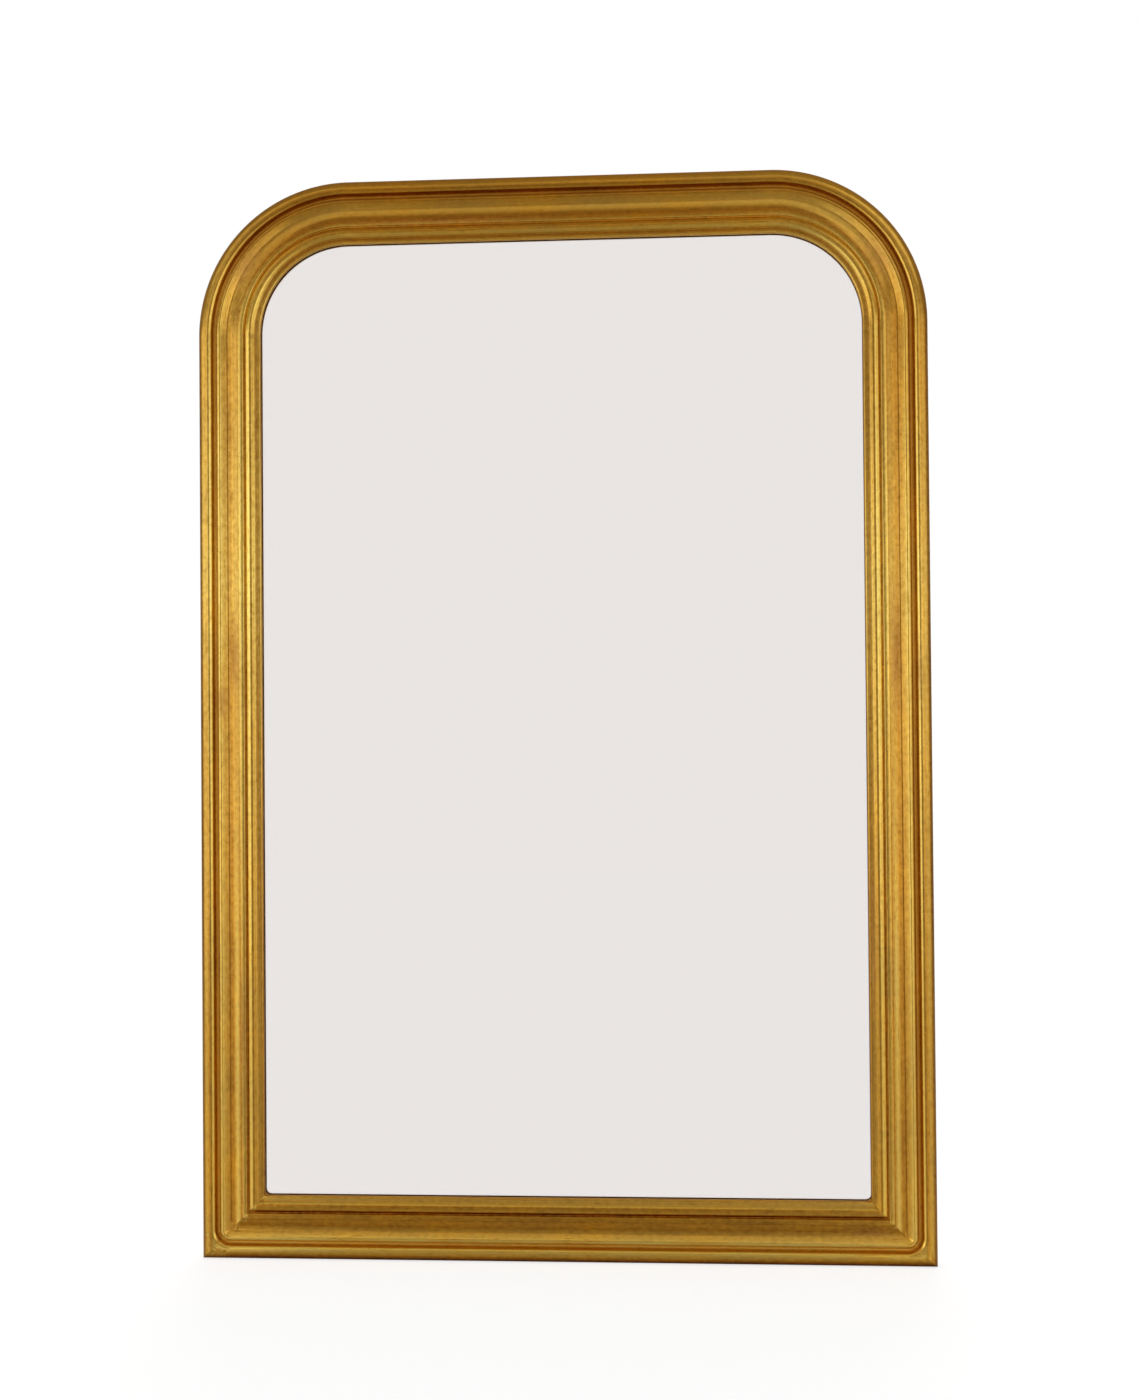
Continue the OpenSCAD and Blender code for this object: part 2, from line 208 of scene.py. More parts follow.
def cos(degrees):
    return math.cos(rad(degrees))


def turned(degrees, axis="Y"):
    return Matrix.Rotation(rad(degrees), 4, axis)


def moved(x, y, z):
    return Matrix.Translation((x, y, z))


def named(name):
    """Gives the new object and its data a name."""
    thing = bpy.context.object
    thing.name = thing.data.name = name
    return thing


def place(piece, matrix):
    """Moves the mesh itself, so that the object stays at the origin, and keeps its faces outward."""
    piece.data.transform(matrix)
    if matrix.determinant() < 0:
        piece.data.flip_normals()


def settled(name, matrix=Matrix()):
    """Names the new piece, and moves its place and then one more matrix into its mesh."""
    piece = named(name)
    place(piece, matrix @ piece.matrix_world)
    piece.matrix_world = Matrix()
    return piece


def copy_of(piece, name, matrix=Matrix()):
    twin = piece.copy()
    twin.data = piece.data.copy()
    twin.name = twin.data.name = name
    bpy.context.scene.collection.objects.link(twin)
    place(twin, matrix)
    return twin


FLIP = Matrix.Scale(-1, 4, (1, 0, 0))


def modify(piece, kind, **settings):
    """Adds a modifier, sets it and applies it."""
    only(piece)
    modifier = piece.modifiers.new(kind.lower(), kind)
    for key, value in settings.items():
        setattr(modifier, key, value)
    bpy.ops.object.modifier_apply(modifier=modifier.name)


def cut(piece, tool):
    modify(piece, "BOOLEAN", object=tool, operation="DIFFERENCE", solver="EXACT")


def ease(piece, width, segments, degrees):
    """Rounds every edge sharper than an angle."""
    modify(piece, "BEVEL", width=width * MM, segments=segments, limit_method="ANGLE",
           angle_limit=rad(degrees))


def report(piece):
    shape = bmesh.new()
    shape.from_mesh(piece.data)
    gaps = sum(not e.is_manifold for e in shape.edges)
    volume = round(shape.calc_volume() * 1e6, 1)
    print(piece.name, len(shape.verts), "vertices,", gaps, "open edges,", volume, "cm3")
    shape.free()


def smooth(piece, degrees):
    """Shades a piece smooth, apart from edges sharper than an angle."""
    only(piece)
    bpy.ops.object.shade_smooth_by_angle(angle=rad(degrees))


# %% [markdown]
# The section of the moulding is drawn like a joiner's template. A plane is added, and only the edge
# that lies on the back of the wood is kept. From its outer end the outline is drawn with two strokes:
# a straight line, which extrudes a vertex, and a round, which spins it about a centre. Rounds made by
# spin are even arcs, and the highlight of the gold runs smoothly over them.

# %% Strokes that draw an outline
def draw_on(point):
    """Extrudes the selected vertex, which is the pen, to a point."""
    shape = bmesh.from_edit_mesh(bpy.context.edit_object.data)
    pen = next(v.co.copy() for v in shape.verts if v.select)
    bpy.ops.mesh.extrude_vertices_move(TRANSFORM_OT_translate={"value": Vector(point) - pen})


def on_section(t, h):
    return Vector((-HALF_W + t * MM, BACK - h * MM, ARC_Z))


def line_to(t, h):
    draw_on(on_section(t, h))


def round_about(t, h, degrees, steps):
    """Turns the pen about a centre. A positive angle turns from t towards h."""
    bpy.ops.mesh.spin(steps=steps, angle=rad(degrees), center=on_section(t, h), axis=(0, 0, 1))


# %% Draw the section of the moulding
# The ogee's hollow leaves the crest at one slope and reaches the seam at another
ogee_t = CREST_T + CREST_R + CREST_R * sin(OGEE_SLOPE)
ogee_h = CREST_H - CREST_R + CREST_R * cos(OGEE_SLOPE)
ogee_r = (SEAM_T - ogee_t) / (sin(OGEE_SLOPE) - sin(SEAM_SLOPE))
ogee_centre = (ogee_t + ogee_r * sin(OGEE_SLOPE), ogee_h + ogee_r * cos(OGEE_SLOPE))
seam_h = ogee_centre[1] - ogee_r * cos(SEAM_SLOPE)
cove_r = COVE_W / sin(COVE_SLOPE)
bead_r = (BEAD_W - QUIRK_W) / 2 / sin(BEAD_SWEEP)
quirk_h = BEAD_H - bead_r * (1 - cos(BEAD_SWEEP))
cove_end_h = seam_h + cove_r * (1 - cos(COVE_SLOPE))
print("the seam is", round(seam_h, 2), "mm high and the cove ends at", round(cove_end_h, 2))

deselect()
bpy.ops.mesh.primitive_plane_add(size=REBATE_T * MM, location=on_section(REBATE_T / 2, REBATE_T / 2))
section = settled("moulding_section")
edit(section)
pick("VERT", lambda v: v.co.y < BACK - MM)
bpy.ops.mesh.delete(type="VERT")
pick("VERT", lambda v: near(v.co.x, -HALF_W))
line_to(0, BAND_H - EDGE_R)
round_about(EDGE_R, BAND_H - EDGE_R, -90, 12)
line_to(ROUND_T, BAND_H)
round_about(ROUND_T, BAND_H - BAND_R, -90, 8)
line_to(BAND_W, GROOVE_H + GROOVE_W / 2)
round_about(BAND_W + GROOVE_W / 2, GROOVE_H + GROOVE_W / 2, 180, 12)
line_to(CREST_T, CREST_H - CREST_R)
round_about(CREST_T + CREST_R, CREST_H - CREST_R, -90 - OGEE_SLOPE, 12)
round_about(*ogee_centre, OGEE_SLOPE - SEAM_SLOPE, 8)
round_about(SEAM_T, seam_h + cove_r, COVE_SLOPE, 12)
line_to(FILLET_T + QUIRK_W / 2, FILLET_H - FILLET_R)
round_about(FILLET_T + QUIRK_W / 2 + FILLET_R, FILLET_H - FILLET_R, -90, 4)
line_to(BEAD_T - QUIRK_W / 2 - FILLET_R, FILLET_H)
round_about(BEAD_T - QUIRK_W / 2 - FILLET_R, FILLET_H - FILLET_R, -90, 4)
line_to(BEAD_T - QUIRK_W / 4, quirk_h)
line_to(BEAD_T + QUIRK_W / 2, quirk_h)
round_about(BEAD_T + BEAD_W / 2, BEAD_H - bead_r, -2 * BEAD_SWEEP, 20)
line_to(LIP_T + QUIRK_W / 4, quirk_h)
line_to(LIP_T + QUIRK_W / 2, LIP_H)
line_to(RAIL_W - LIP_R, LIP_H)
round_about(RAIL_W - LIP_R, LIP_H - LIP_R, -90, 8)
line_to(RAIL_W, REBATE_H)
line_to(REBATE_T, REBATE_H)
line_to(REBATE_T, 0)
tidy_mesh()
close()
print("section", len(section.data.vertices), "points,", len(section.data.edges), "edges")

# %% [markdown]
# The left stile is one length of moulding. Its section is extruded down from the joint with the corner
# block, and the long edges are subdivided, so that the numbers which the gold reads later are stored
# close together. At the square lower corner the band, the back and the inner mouldings run on and are
# cut by a bisect along the mitre. The groove and the ogee don't: they turn round a point as far in from
# the side as from the foot, so that part of the section is spun instead. The flat corner left over is
# then filled.

# %% Helpers for a length of moulding
# The length of one short stretch, and how near to the plane a bisect takes a point to lie on it
STATION = 9 * MM
CUT_WITHIN = 0.001 * MM
turn_z = BOTTOM + SEAM_T * MM
mitre_at = Vector((-HALF_W, 0, BOTTOM))
turn_at = Vector((-HALF_W + SEAM_T * MM, 0, turn_z))


def cap(test):
    """Closes the open end whose edges pass a test."""
    pick("EDGE", lambda e: e.is_boundary and both_ends(e, test))
    bpy.ops.mesh.edge_face_add()


def divide(test, length):
    """Cuts the long edges that pass a test into short lengths."""
    pick("EDGE", test)
    bpy.ops.mesh.subdivide(number_cuts=max(1, round(length / STATION)) - 1)


def bisect(at, normal):
    """Cuts the piece with a plane and throws away what lies beyond it."""
    take_all()
    bpy.ops.mesh.bisect(plane_co=at, plane_no=normal, clear_outer=True, threshold=CUT_WITHIN)


def on_face(co):
    """True for the part of the front that turns round in the lower corner."""
    inward = (co.x + HALF_W) / MM
    high = (BACK - co.y) / MM
    return ROUND_T - 0.01 < inward < SEAM_T + 0.01 and high > GROOVE_H - 0.01


def on_mitre(co):
    return abs((co - mitre_at) @ Vector((1, 0, -1))) < MERGE


def round_the_spandrel(co):
    """True round the flat corner that the turned mouldings leave over."""
    flat = near(co.y, BACK - BAND_H * MM)
    on_arc = near(math.hypot(co.x - turn_at.x, co.z - turn_at.z), (SEAM_T - ROUND_T) * MM)
    return flat and co.z < turn_z + 0.01 * MM and (on_arc or near(co.x, ROUND_T * MM - HALF_W))


# %% Make the left stile
left_stile = copy_of(section, "left_stile_gilded")
edit(left_stile)
take_all()
push(0, 0, turn_z - ARC_Z)
divide(lambda e: abs(e.verts[0].co.z - e.verts[1].co.z) > MM, ARC_Z - turn_z)
pick("EDGE", lambda e: both_ends(e, lambda co: near(co.z, turn_z)) and not both_ends(e, on_face))
push(0, 0, BOTTOM - turn_z)
bisect(mitre_at, (1, 0, -1))
pick("EDGE", lambda e: both_ends(e, lambda co: near(co.z, turn_z) and on_face(co)))
bpy.ops.mesh.spin(steps=10, angle=rad(45), center=turn_at, axis=(0, 1, 0))
tidy_mesh()
print("open edges after the turn", pick("EDGE", lambda e: e.is_boundary))
cap(round_the_spandrel)
cap(on_mitre)
cap(lambda co: near(co.z, ARC_Z))
tidy_mesh()
close()
report(left_stile)

# %% [markdown]
# The bottom rail is the same moulding turned over the mitre, so the first half is a mirrored copy of the
# stile, cut at the middle of the frame. The other half is its own reflection. The left corner block is
# the section spun a quarter turn, and the top rail is the section extruded along the top. The pieces on
# the right are mirrored copies of those on the left.

# %% Make the bottom rail
over_the_mitre = Matrix((
    (0, 0, 1, -HALF_W - BOTTOM), (0, 1, 0, 0), (1, 0, 0, BOTTOM + HALF_W), (0, 0, 0, 1)))
bottom_rail = copy_of(left_stile, "bottom_rail_gilded", over_the_mitre)
edit(bottom_rail)
bisect((0, 0, 0), (1, 0, 0))
close()
modify(bottom_rail, "MIRROR", use_clip=True, merge_threshold=MERGE)
edit(bottom_rail)
tidy_mesh()
close()
report(bottom_rail)

# %% Make the corner blocks, the top rail and the right stile
CORNER_STEPS = 45
left_corner = copy_of(section, "left_corner_gilded")
edit(left_corner)
take_all()
bpy.ops.mesh.spin(steps=CORNER_STEPS, angle=rad(90), center=(-ARC_X, 0, ARC_Z), axis=(0, -1, 0))
cap(lambda co: near(co.z, ARC_Z))
cap(lambda co: near(co.x, -ARC_X))
tidy_mesh()
close()
report(left_corner)

corner_centre = moved(-ARC_X, 0, ARC_Z)
top_rail = copy_of(section, "top_rail_gilded", corner_centre @ turned(90) @ corner_centre.inverted())
edit(top_rail)
take_all()
push(2 * ARC_X, 0, 0)
divide(lambda e: abs(e.verts[0].co.x - e.verts[1].co.x) > MM, 2 * ARC_X)
cap(lambda co: near(co.x, -ARC_X))
cap(lambda co: near(co.x, ARC_X))
tidy_mesh()
close()
report(top_rail)

right_stile = copy_of(left_stile, "right_stile_gilded", FLIP)
right_corner = copy_of(left_corner, "right_corner_gilded", FLIP)
report(right_stile)
report(right_corner)
bpy.data.objects.remove(section)

# %% [markdown]
# The gold's pattern follows the moulding, so each gilded piece stores two numbers at every point, both
# in millimetres: how far along the frame it is, going round from the lower left corner, and how far in
# from the outer edge.

# %% Measure every point along and across the moulding
middle_r = CORNER_R - RAIL_W * MM / 2
QUARTER = math.pi / 2 * middle_r
SIDE_L = ARC_Z - BOTTOM
# From the lower left corner over the top to the lower right one, and then all the way round
OVER = 2 * (SIDE_L + QUARTER + ARC_X)
ROUND_L = (OVER + 2 * HALF_W) / MM


def unroll(co):
    """How far along the frame and how far in from its edge a point is, in mm."""
    side, up = HALF_W - abs(co.x), co.z - BOTTOM
    past_x, past_z = abs(co.x) - ARC_X, co.z - ARC_Z
    inward = min(side, up)
    if past_z > 0 and past_x > 0:
        up = SIDE_L + math.atan2(past_z, past_x) * middle_r
        inward = CORNER_R - math.hypot(past_x, past_z)
    elif past_z > 0:
        up, inward = SIDE_L + QUARTER - past_x, TOP - co.z
    elif max(side, up) < SEAM_T * MM:
        turned_in = SEAM_T * MM - math.hypot(SEAM_T * MM - side, SEAM_T * MM - up)
        inward = max(inward, turned_in) if turned_in > ROUND_T * MM - 0.001 * MM else inward
    if up < side and past_z <= 0:
        return (OVER + HALF_W - co.x) / MM, inward / MM
    return (up if co.x < 0 else OVER - up) / MM, inward / MM


def measure(piece):
    values = [unroll(v.co) for v in piece.data.vertices]
    for index, name in enumerate(("along", "across")):
        attribute = piece.data.attributes.new(name, "FLOAT", "POINT")
        attribute.data.foreach_set("value", [value[index] for value in values])


# Edges sharper than this stay sharp
MOULDING_ANGLE = 28
gilded_pieces = [left_stile, right_stile, top_rail, bottom_rail, left_corner, right_corner]
for piece in gilded_pieces:
    measure(piece)
    smooth(piece, MOULDING_ANGLE)
print("measured", len(gilded_pieces), "pieces of moulding")

# %% [markdown]
# Every material is built from nodes. Colours are written as on a screen, and one function turns them to
# the linear values that the renderer uses.

# %% Helpers for materials
# The two colour inputs of a mix
MIX_A, MIX_B = 6, 7


def colour(code):
    """Turns a hex colour into linear red, green, blue and alpha."""
    values = [int(code[i:i + 2], 16) / 255 for i in (1, 3, 5)]
    return [v / 12.92 if v <= 0.04045 else ((v + 0.055) / 1.055) ** 2.4 for v in values] + [1]


def add_node(tree, kind, inputs=None, stops=(), **settings):
    """Adds a node. An input is a number, a colour, an output, or a node for its first output in use."""
    node = tree.nodes.new("ShaderNode" + kind)
    for key, value in settings.items():
        setattr(node, key, value)
    for socket, value in (inputs or {}).items():
        if isinstance(value, bpy.types.Node):
            value = next(output for output in value.outputs if output.enabled)
        if isinstance(value, bpy.types.NodeSocket):
            tree.links.new(value, node.inputs[socket])
        else:
            node.inputs[socket].default_value = value
    for index, (position, value) in enumerate(stops):
        ramp = node.color_ramp.elements
        stop = ramp[index] if index < 2 else ramp.new(position)
        stop.position, stop.color = position, (value, value, value, 1)
    return node


def new_material(name):
    material = bpy.data.materials.new(name)
    material.use_nodes = True
    material.node_tree.nodes.clear()
    return material, material.node_tree


def cover(tree, shader):
    add_node(tree, "OutputMaterial", {"Surface": shader})


# %% [markdown]
# Water gilding is a stack of thin coats. White gesso fills the wood, a red clay called bole is brushed over
# it, and gold leaf is laid on the clay and rubbed with an agate stone. Age changes it unevenly: brown grime
# settles in the grooves, and clay shows where a cloth rubbed the leaf away. Light and shade are painted into
# the leaf as well: it is painted paler and brighter where highlights lie along the rounds, and darker and a
# deeper yellow where shade falls, most over the top, partly as burnish and age would leave it. One colour all
# over would look like brass. So the material follows the numbers stored on each piece: ramps over the width
# and the length say how much painted light, burnish, age, grime and rubbing each place has, and noise in real
# millimetres breaks the edges up.

# %% Gold leaf over red bole: how its age differs across the moulding
# How much grime shelters there, from 0 to 1, against the distance in from the outer edge in mm
SHELTER = (
    (0, 0.5), (2, 0.4), (4.5, 0.1), (BAND_W - 0.5, 0), (BAND_W + 0.8, 0.4), (CREST_T - 1.2, 0.9),
    (CREST_T + 0.6, 0.3), (CREST_T + 2, 0), (SEAM_T - 1.5, 0.05), (SEAM_T, 0.2), (SEAM_T + 1.6, 0),
    (FILLET_T - 1, 0), (FILLET_T + 0.2, 0.4), (FILLET_T + 1.1, 0), (BEAD_T - 0.9, 0.05), (BEAD_T, 0.5),
    (BEAD_T + 1.1, 0), (LIP_T - 1.1, 0), (LIP_T, 0.5), (LIP_T + 1.1, 0.05), (RAIL_W - 1.4, 0.1),
    (RAIL_W, 0.9))
# Painted highlights and shade across the moulding, partly the burnish of the leaf: how bright it is against
# the same distance
BURNISH_AND_PAINTED_LIGHT = (
    (1, 0.62), (3.5, 0.68), (5.5, 0.76), (7, 0.83), (9, 0.66), (11.5, 0.92), (14.5, 1), (BAND_W + 2, 0.9),
    (CREST_T, 0.9), (25, 0.9), (29.5, 0.72), (SEAM_T + 1, 0.62), (36, 0.58), (41.5, 0.75),
    (FILLET_T, 0.76), (48, 1), (53, 0.9), (56, 1), (59.5, 0.82), (61, 0.72), (62.5, 0.88),
    (LIP_T + 1.5, 0.75), (67, 0.95), (RAIL_W, 0.85))
# Painted highlights and shade in the same way for the low sides, for the top and for the foot, which face
# other parts of the room
PAINTED_LIGHT_LOW = (
    (1, 0.62), (7, 0.86), (10, 0.6), (14, 1), (CREST_T, 0.9), (25, 1), (SEAM_T + 1, 0.56), (37, 0.58),
    (41, 1.05), (45.5, 0.66), (48, 0.92), (53, 0.85), (56, 1), (61, 0.64), (64, 0.9), (RAIL_W, 0.7))
PAINTED_LIGHT_TOP = (
    (3, 0.85), (8, 1), (12, 0.8), (CREST_T, 0.9), (25, 0.8), (SEAM_T + 3, 1.1), (FILLET_T + 2, 0.65),
    (51.5, 1.3), (BEAD_T + 5, 0.75), (60, 1.2), (LIP_T + 1.5, 0.75), (69, 1.25))
PAINTED_LIGHT_FOOT = (
    (1, 0.4), (6, 0.6), (12, 1.1), (17, 1), (24, 1.15), (28, 0.88), (34, 0.75), (38, 0.55), (45, 0.62),
    (50, 0.66), (53.5, 0.48), (56, 0.72), (60, 0.62), (63, 1), (68.5, 0.82))
# How much a cloth has rubbed the leaf from the clay, against the same distance
RUBBED = (
    (5, 0), (EDGE_R + 1.5, 0.05), (14, 0), (FILLET_T - 4, 0.06), (FILLET_T + 1.5, 0.1), (BEAD_T, 0),
    (LIP_T - 1, 0), (LIP_T + 1.5, 0.1), (RAIL_W, 0.1))

# %% How its age differs along the frame
# How far each length follows the three other tables of painted highlights and shade, against the distance
# round the frame from the lower left corner in mm
LOW = ((250, 1), (550, 0), (2300, 0), (2600, 1))
LEVEL = ((1000, 0), (1080, 0.6), (1200, 1), (1740, 1), (1830, 0.6), (1900, 0))
FOOT = ((2915, 0), (2917, 1))
# How deep a yellow the leaf is, against the same distance: partly its age, and partly the deeper yellow of
# painted shade, most over the top
AGE_AND_SHADE_TINT = (
    (142, 0.42), (342, 0.3), (542, 0.15), (742, 0), (942, 0.1), (1063, 0.2), (1121, 0.4), (1180, 0.55),
    (1593, 0.6), (1737, 0.45), (1852, 0.25), (2173, 0.1), (2473, 0.25), (2773, 0.4), (3116, 0.4),
    (3516, 0.45))
# Painted shade along the frame: how bright the leaf is against the same distance, darkest over the top and
# brightest on the foot
PAINTED_SHADE_ALONG = (
    (142, 0.9), (242, 0.87), (392, 0.84), (642, 0.86), (742, 0.98), (942, 0.88), (1063, 0.88),
    (1121, 0.75), (1323, 0.73), (1593, 0.77), (1794, 0.82), (1973, 0.8), (2173, 0.95), (2473, 0.83),
    (2773, 0.88), (2960, 0.98), (3316, 1), (3650, 0.98), (3716, 0.88))
# Patches worn through to the clay: along, across, and half the length and width, all in mm
WORN = (
    (1096, 31, 24, 9), (1827, 33, 22, 8), (662, 40, 34, 5), (2263, 38, 60, 5), (2275, 14, 34, 3),
    (612, 25, 16, 8), (2990, 38, 20, 5), (250, 48, 60, 3), (1330, 48, 90, 3), (2560, 66, 70, 3))

# %% [markdown]
# A ramp reads each table. The marks of the hand are noise, stretched to the length and width of a mark
# in millimetres: strokes of the burnisher, mottles of the clay, clouds of tarnish as wide as a hand, and
# fine scratches. The noise reads the stored numbers, and on the outer side of the frame, which all lies
# at one distance across, the depth from the wall as well.

# %% Read the tables and draw the marks
# Length along the frame and width across it, in mm
STROKE = (34, 2.2)
MOTTLE = (6, 4.5)
CLOUD = (75, 30)
SCRATCH = (11, 1.1)

gold_leaf, tree = new_material("gold_leaf_over_red_bole")
along, across = [
    add_node(tree, "Attribute", attribute_name=name).outputs["Fac"] for name in ("along", "across")]
on_piece = add_node(tree, "TexCoord").outputs["Object"]
depth = add_node(tree, "SeparateXYZ", {0: on_piece}).outputs["Y"]
depth_mm = add_node(tree, "Math", {0: depth, 1: MM}, operation="DIVIDE")
unrolled = add_node(tree, "CombineXYZ", {0: along, 1: across, 2: depth_mm})
marks = []
for index, (length, width) in enumerate((STROKE, MOTTLE, CLOUD, SCRATCH)):
    stretched = add_node(tree, "VectorMath", {
        0: unrolled, 1: (1 / length, 1 / width, 1 / width)}, operation="MULTIPLY")
    # Each mark reads its own part of the noise
    shifted = add_node(tree, "VectorMath", {0: stretched, 1: (7.3, 3.1, 11.7 * index)})
    marks.append(add_node(tree, "TexNoise", {
        "Vector": shifted, "Scale": 1, "Detail": 3, "Roughness": 0.55}))
strokes, mottle, cloud, scratches = marks


def by_place(where, whole, table):
    """A ramp that reads a table of places and values. The places run from 0 to whole, in mm."""
    share = add_node(tree, "Math", {0: where, 1: whole}, operation="DIVIDE")
    return add_node(tree, "ValToRGB", {0: share}, [(at / whole, value) for at, value in table])


sheltered, burnish_and_painted_light, rubbed = [by_place(across, RAIL_W, table) for table in (SHELTER, BURNISH_AND_PAINTED_LIGHT, RUBBED)]
age_and_shade_tint, painted_shade_along = [by_place(along, ROUND_L, table) for table in (AGE_AND_SHADE_TINT, PAINTED_SHADE_ALONG)]
# The low sides, the top and the foot blend in their own tables of painted highlights and shade
for share, table in ((LOW, PAINTED_LIGHT_LOW), (LEVEL, PAINTED_LIGHT_TOP), (FOOT, PAINTED_LIGHT_FOOT)):
    burnish_and_painted_light = add_node(tree, "Mix", {
        0: by_place(along, ROUND_L, share), 2: burnish_and_painted_light, 3: by_place(across, RAIL_W, table)})

# Each worn patch is an oval with a soft edge
worn = 0
for place_along, place_across, half_l, half_w in WORN:
    offset = add_node(tree, "VectorMath", {
        0: unrolled, 1: (place_along, place_across, 0)}, operation="SUBTRACT")
    scaled = add_node(tree, "VectorMath", {
        0: offset, 1: (1 / half_l, 1 / half_w, 0)}, operation="MULTIPLY")
    away = add_node(tree, "VectorMath", {0: scaled}, operation="LENGTH")
    patch = add_node(tree, "MapRange", {
        "Value": away, "From Min": 1.6, "From Max": 0.2, "To Min": 0, "To Max": 0.6})
    worn = add_node(tree, "Math", {0: worn, 1: patch}, operation="MAXIMUM")
print("marks and places:", len(tree.nodes), "nodes")

# %% [markdown]
# The coats are then laid over each other: the leaf from fresh to aged and painted-shade yellow, the clay that
# shows through it, the grime and the scratches. Its brightness, mostly painted light and shade with some
# noise, then takes most from the blue and least from the red, so what is painted dim is also a deeper yellow.
# The gilder's gold stops short of the wall, and a wash of yellow ochre covers the rest of the side. Bare leaf
# is all metal and nearly smooth, and clay, grime and ochre are rougher.

# %% Lay the leaf, the clay, the grime and the painted light and shade over each other
def added(tree, start, *terms):
    """Adds outputs, each times its own factor, to a starting number."""
    for output, factor in terms:
        start = add_node(tree, "Math", {0: output, 1: factor, 2: start}, operation="MULTIPLY_ADD")
    return start


# A noise lies about 0.5, and the starting number takes that off again, wholly or in part
# The leaf turns a deeper yellow with age and with painted shade, and stays pale where painted highlights lie
age_and_shade = added(tree, -0.45, (age_and_shade_tint, 1), (burnish_and_painted_light, -0.5), (cloud, 1), (mottle, 0.5), (strokes, 0.3))
clay_shows = add_node(tree, "Math", {
    0: added(tree, -0.5, (rubbed, 1), (worn, 1), (strokes, 0.6), (mottle, 0.4)), 1: 0.8},
    operation="MULTIPLY", use_clamp=True)
uneven = add_node(tree, "MapRange", {"Value": mottle, "To Min": 0.5, "To Max": 1.5})
grime = add_node(tree, "Math", {0: uneven, 1: sheltered}, operation="MULTIPLY", use_clamp=True)
scratched = add_node(tree, "MapRange", {
    "Value": added(tree, -0.175, (scratches, 1), (cloud, 0.35)), "From Min": 0.6, "From Max": 0.72,
    "To Min": 0, "To Max": 0.45})
tone = colour("#F7E383")
for share, over in ((age_and_shade, "#F3B520"), (clay_shows, "#D4A062"), (grime, "#D69C38"), (scratched, "#9A5F22")):
    tone = add_node(tree, "Mix", {0: share, MIX_A: tone, MIX_B: colour(over)}, data_type="RGBA")

# Pale leaf is speckled more than leaf that age and painted shade have turned a deeper yellow
speckled = add_node(tree, "MapRange", {"Value": age_and_shade_tint, "To Min": 1, "To Max": 0.4})
speckle = add_node(tree, "Math", {
    0: added(tree, -0.5, (mottle, 0.7), (strokes, 0.3)), 1: speckled}, operation="MULTIPLY")
# Painted light and shade: the leaf's brightness follows the tables of painted highlights and shade across and
# along the frame, broken by noise
brightness = add_node(tree, "Math", {
    0: painted_shade_along, 1: added(tree, -0.25, (burnish_and_painted_light, 1), (speckle, 1), (cloud, 0.5))},
    operation="MULTIPLY", use_clamp=True)
# Painted shade takes most from the blue and least from the red, so what is painted dim is also a deeper
# yellow
green_left, blue_left = [
    add_node(tree, "Math", {0: brightness, 1: power}, operation="POWER") for power in (1.5, 2.2)]
shade_tint = add_node(tree, "CombineXYZ", {0: brightness, 1: green_left, 2: blue_left})
gilded_tone = add_node(tree, "VectorMath", {0: tone, 1: shade_tint}, operation="MULTIPLY")

# %% Wash the side with ochre, and finish the gold
GOLD_STOPS = 10 * MM
OCHRE_COVERS = 5 * MM
behind = add_node(tree, "MapRange", {
    "Value": depth, "From Min": BACK - GOLD_STOPS, "From Max": BACK - OCHRE_COVERS})
ochre = add_node(tree, "Math", {
    0: added(tree, -0.82, (behind, 1.6), (strokes, 1)), 1: behind}, operation="MULTIPLY", use_clamp=True)
whole_tone = add_node(tree, "Mix", {
    0: ochre, MIX_A: gilded_tone, MIX_B: colour("#B4853A")}, data_type="RGBA")
dull = add_node(tree, "Math", {0: clay_shows, 1: grime}, operation="MAXIMUM", use_clamp=True)
part_metal = add_node(tree, "MapRange", {"Value": dull, "To Min": 1, "To Max": 0.8})
metal = add_node(tree, "Math", {
    0: part_metal, 1: ochre}, operation="SUBTRACT", use_clamp=True)
duller = add_node(tree, "Math", {0: dull, 1: ochre}, operation="MAXIMUM", use_clamp=True)
rough = add_node(tree, "MapRange", {"Value": duller, "To Min": 0.17, "To Max": 0.5})
uneven_leaf = add_node(tree, "Bump", {
    "Height": added(tree, 0, (mottle, 1), (strokes, 1), (cloud, 8)), "Strength": 1, "Distance": 0.03 * MM})
leaf = add_node(tree, "BsdfPrincipled", {
    "Base Color": whole_tone, "Metallic": metal, "Roughness": rough, "Normal": uneven_leaf})
cover(tree, leaf)
for piece in gilded_pieces:
    piece.data.materials.append(gold_leaf)
print("gold leaf:", len(tree.nodes), "nodes")

# %% [markdown]
# The camera stands where the photographer stood, a little to the right of the middle. Its place and its
# turn were fitted to the outlines of the frame and of the glass. The studio is plain: large soft lamps
# on both sides lie as broad highlights along the rounds of the moulding, and the background is white for
# the camera alone. Gilding under a white sky washes out, so metal sees a dim warm room instead, and what
# is seen through the glass is a pale grey.

# %% Set the camera where the photographer stood
CAMERA_AT = (0.168, -2.1422, -0.0173)
# Its turns about z, y and x, in radians
CAMERA_TURN = (("Z", -0.0752), ("Y", -0.0091), ("X", -0.016))
bpy.ops.object.camera_add(location=CAMERA_AT)
camera = named("camera")
camera.data.lens = 50
camera.data.sensor_width = 36
turn = Matrix.Identity(3)
for axis, angle in CAMERA_TURN:
    turn = turn @ Matrix.Rotation(angle, 3, axis)
facing_the_wall = Matrix(((1, 0, 0), (0, 0, -1), (0, 1, 0)))
camera.matrix_world = Matrix.Translation(CAMERA_AT) @ (turn.transposed() @ facing_the_wall).to_4x4()
bpy.context.scene.camera = camera
print("camera at", [round(v, 3) for v in camera.matrix_world.translation])

